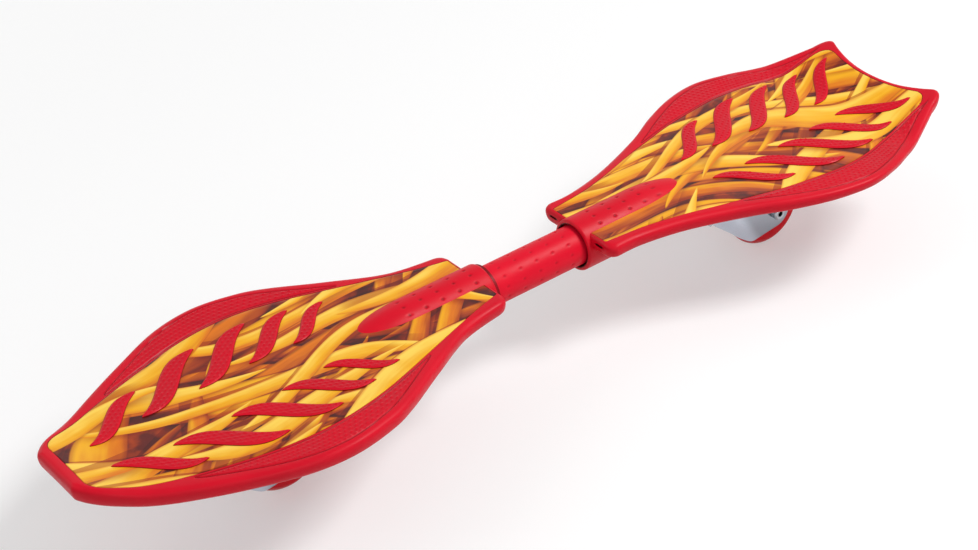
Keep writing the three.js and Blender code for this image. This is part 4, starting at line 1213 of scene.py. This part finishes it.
def finish(slot):
    """The finish of a material slot."""
    if slot == "printed_panel":
        return printed_plastic()
    hue = colours()
    # Name, colour, roughness, scale and depth of the grain, metal, and spread of the tone
    settings = {
        "deck_plastic": ("Moulded deck plastic", hue.plastic, 0.4, 1500.0, 0.12),
        "boot_plastic": ("Moulded sleeve plastic", hue.sleeve, 0.46, 1500.0, 0.14),
        "wheel_urethane": ("Cast wheel urethane", hue.wheel, 0.36, 900.0, 0.08),
        "fork_chrome": ("Bright pressed steel", rgb(212, 224, 236), 0.2, 700.0, 0.05, 1.0, 0.05),
        "zinc_plate": ("Zinc plated steel", rgb(178, 182, 188), 0.3, 1200.0, 0.1, 1.0, 0.14),
        "steel": ("Ground steel", rgb(188, 190, 194), 0.26, 2400.0, 0.12, 1.0, 0.1),
        "black_screw": ("Black oxide steel", rgb(46, 46, 50), 0.38, 1500.0, 0.1, 1.0, 0.2),
        "black_nylon": ("Black nylon", rgb(34, 35, 38), 0.52, 1300.0, 0.14, 0.0, 0.15),
    }
    return grained(*settings[slot])


def put_on_both(pattern, name, body, slot, stood_for):
    """Puts a copy of a caster piece under each deck, and removes the pattern."""
    for deck in DECKS:
        prefix = deck["name"] + "_"
        made = move(copy_of(pattern, prefix + name), caster_matrix(deck))
        dress(made, prefix + body, slot, prefix + stood_for)
    bpy.data.objects.remove(pattern)


# Operators


class BOARD_OT_deck_mouldings(bpy.types.Operator):
    """Model the two red deck mouldings with their rims, strips, housings and ribs."""

    bl_idname = "board.deck_mouldings"
    bl_label = "Deck mouldings"

    def execute(self, context):
        for deck in DECKS:
            body = deck["name"] + "_deck"
            dress(deck_moulding(deck), body, "deck_plastic", body + "_shell")
        return {"FINISHED"}


class BOARD_OT_printed_panels(bpy.types.Operator):
    """Model the two printed panels that lie in the decks."""

    bl_idname = "board.printed_panels"
    bl_label = "Printed panels"

    def execute(self, context):
        for deck in DECKS:
            name = deck["name"]
            dress(printed_sheet(deck), name + "_deck", "printed_panel", name + "_graphic_panel")
        return {"FINISHED"}


class BOARD_OT_grip_leaves(bpy.types.Operator):
    """Model the raised grip leaves that stand out of the panels."""

    bl_idname = "board.grip_leaves"
    bl_label = "Grip leaves"

    def execute(self, context):
        for deck in DECKS:
            pieces = [leaf(deck, shares, hand) for shares in deck["leaves"] for hand in (1, -1)]
            made = join(deck["name"] + "_grip_leaves", pieces)
            dress(made, deck["name"] + "_deck", "deck_plastic")
        return {"FINISHED"}


class BOARD_OT_neck_sleeve(bpy.types.Operator):
    """Model the dimpled sleeve over the neck."""

    bl_idname = "board.neck_sleeve"
    bl_label = "Neck sleeve"

    def execute(self, context):
        dress(neck_sleeve(), "front_deck", "boot_plastic", "neck_boot")
        return {"FINISHED"}


class BOARD_OT_forks(bpy.types.Operator):
    """Model the bright forks and put one under each deck."""

    bl_idname = "board.forks"
    bl_label = "Forks"

    def execute(self, context):
        put_on_both(fork_hood(), "bright_fork", "swivel", "fork_chrome", "fork")
        return {"FINISHED"}


class BOARD_OT_wheels(bpy.types.Operator):
    """Model the wheels with their cores, bearings and axle bolts."""

    bl_idname = "board.wheels"
    bl_label = "Wheels"

    def execute(self, context):
        put_on_both(tyre(), "cast_tyre", "wheel", "wheel_urethane", "tyre")
        put_on_both(wheel_core(), "nylon_core", "wheel", "black_nylon", "wheel_core")
        put_on_both(bearing(1), "left_ball_bearing", "wheel", "steel", "bearing_left")
        put_on_both(bearing(-1), "right_ball_bearing", "wheel", "steel", "bearing_right")
        put_on_both(axle_bolt(), "socket_axle_bolt", "swivel", "zinc_plate", "axle_bolt")
        return {"FINISHED"}


class BOARD_OT_kept_nodes(bpy.types.Operator):
    """Finish the CAD nodes that show as they are."""

    bl_idname = "board.kept_nodes"
    bl_label = "Kept nodes"

    def execute(self, context):
        slots = {row["node"]: row["material_slot"] for row in frame["record"]["subparts"]}
        for name, obj in frame["nodes"].items():
            if not obj.hide_render:
                paint(obj, slots[name])
        return {"FINISHED"}


class BOARD_OT_stage(bpy.types.Operator):
    """Set the pale floor, the soft lights and the camera."""

    bl_idname = "board.stage"
    bl_label = "Stage"

    def execute(self, context):
        scene, floor_width, aim = context.scene, 30, Vector((0, 0, 0.08))
        scene.view_settings.view_transform = "Standard"
        deselect()
        bpy.ops.mesh.primitive_plane_add(size=floor_width, location=(0, 0, 0))
        floor = context.object
        floor.name = "studio_floor"
        bpy.ops.object.transform_apply(location=True, rotation=True, scale=True)
        floor.data.materials.append(floor_paint())
        scene.world = studio_world()
        # Place, width and power of each lamp, in metres and watts
        for place, size, power in (((-1.6, 1.3, 2.6), 1.0, 74), ((1.9, -1.4, 1.9), 2.2, 18),
                                   ((0.8, 2.2, 1.0), 1.6, 10)):
            lamp = bpy.data.lights.new("soft_light", "AREA")
            lamp.size, lamp.energy = size, power
            obj = bpy.data.objects.new("soft_light", lamp)
            scene.collection.objects.link(obj)
            obj.location = place
            obj.rotation_euler = (aim - obj.location).to_track_quat("-Z", "Y").to_euler()
        photo_camera(scene)
        return {"FINISHED"}


def floor_paint():
    """A pale floor that takes the board's shadow, and fades to white far from it."""
    made, tree, shader = material("Studio floor")
    shader.inputs["Base Color"].default_value = (0.62, 0.62, 0.62, 1)
    shader.inputs["Roughness"].default_value = 0.9
    shader.inputs["Emission Color"].default_value = (1, 1, 1, 1)
    where = tree.nodes.new("ShaderNodeTexCoord").outputs["Object"]
    away = node(tree, "ShaderNodeVectorMath", {"operation": "LENGTH"}, Vector=where)
    glow = ramp(tree, away.outputs["Value"], 0.5, 3.5, 0.38, 0.8)
    feed(tree, shader.inputs["Emission Strength"],
         maths(tree, "MULTIPLY", seen_directly(tree), glow))
    return made


def studio_world():
    """A white background that lights the board softly."""
    world = bpy.data.worlds.new("Studio")
    world.use_nodes = True
    tree = world.node_tree
    sky = tree.nodes["Background"]
    sky.inputs["Color"].default_value = (1, 1, 1, 1)
    feed(tree, sky.inputs["Strength"],
         ramp(tree, seen_directly(tree), 0.0, 1.0, 0.34, 1.0, "LINEAR"))
    return world


def seen_directly(tree):
    """1 on rays from the camera, and on those that mirrors and glass pass on."""
    path = tree.nodes.new("ShaderNodeLightPath").outputs
    found = maths(tree, "MAXIMUM", path["Is Camera Ray"], path["Is Glossy Ray"])
    return maths(tree, "MAXIMUM", found, path["Is Transmission Ray"])


def photo_camera(scene):
    """A camera that looks at the board from the photograph's side."""
    azimuth, elevation, roll = (math.radians(a) for a in (145.172, 33.766, -4.749))
    back = Vector((math.sin(azimuth) * math.cos(elevation),
                   -math.cos(azimuth) * math.cos(elevation), math.sin(elevation)))
    right = Vector((math.cos(azimuth), math.sin(azimuth), 0))
    up = back.cross(right)
    rolled = math.cos(roll) * right + math.sin(roll) * up
    upright = math.cos(roll) * up - math.sin(roll) * right
    lens = bpy.data.cameras.new("photo_camera")
    lens.sensor_width, lens.lens = 36, 82.07
    obj = bpy.data.objects.new("photo_camera", lens)
    scene.collection.objects.link(obj)
    aim, distance = Vector((33.25, 7.36, 108)) * MM, 1.8273
    place = aim + back * distance
    axes = Matrix((rolled, upright, back)).transposed().to_4x4()
    obj.matrix_world = Matrix.Translation(place) @ axes
    scene.camera = obj


class BOARD_PT_pieces(bpy.types.Panel):
    """Lists the board's pieces."""

    bl_idname = "BOARD_PT_pieces"
    bl_label = "Caster board"
    bl_space_type = "VIEW_3D"
    bl_region_type = "UI"
    bl_category = "Board"

    def draw(self, context):
        for operator in OPERATORS:
            self.layout.operator(operator.bl_idname)
        for group in (context.scene.board_sizes, context.scene.board_colours):
            for name in group.bl_rna.properties.keys():
                if name not in ("rna_type", "name"):
                    self.layout.prop(group, name)


OPERATORS = (BOARD_OT_deck_mouldings, BOARD_OT_printed_panels, BOARD_OT_grip_leaves,
             BOARD_OT_neck_sleeve, BOARD_OT_forks, BOARD_OT_wheels, BOARD_OT_kept_nodes,
             BOARD_OT_stage)
CLASSES = (BoardSizes, BoardColours, *OPERATORS, BOARD_PT_pieces)


def register():
    for cls in CLASSES:
        bpy.utils.register_class(cls)
    bpy.types.Scene.board_sizes = PointerProperty(type=BoardSizes)
    bpy.types.Scene.board_colours = PointerProperty(type=BoardColours)


def unregister():
    del bpy.types.Scene.board_colours
    del bpy.types.Scene.board_sizes
    for cls in reversed(CLASSES):
        bpy.utils.unregister_class(cls)


def main():
    register()
    for operator in OPERATORS:
        group, name = operator.bl_idname.split(".")
        getattr(getattr(bpy.ops, group), name)()


if __name__ == "__main__":
    main()
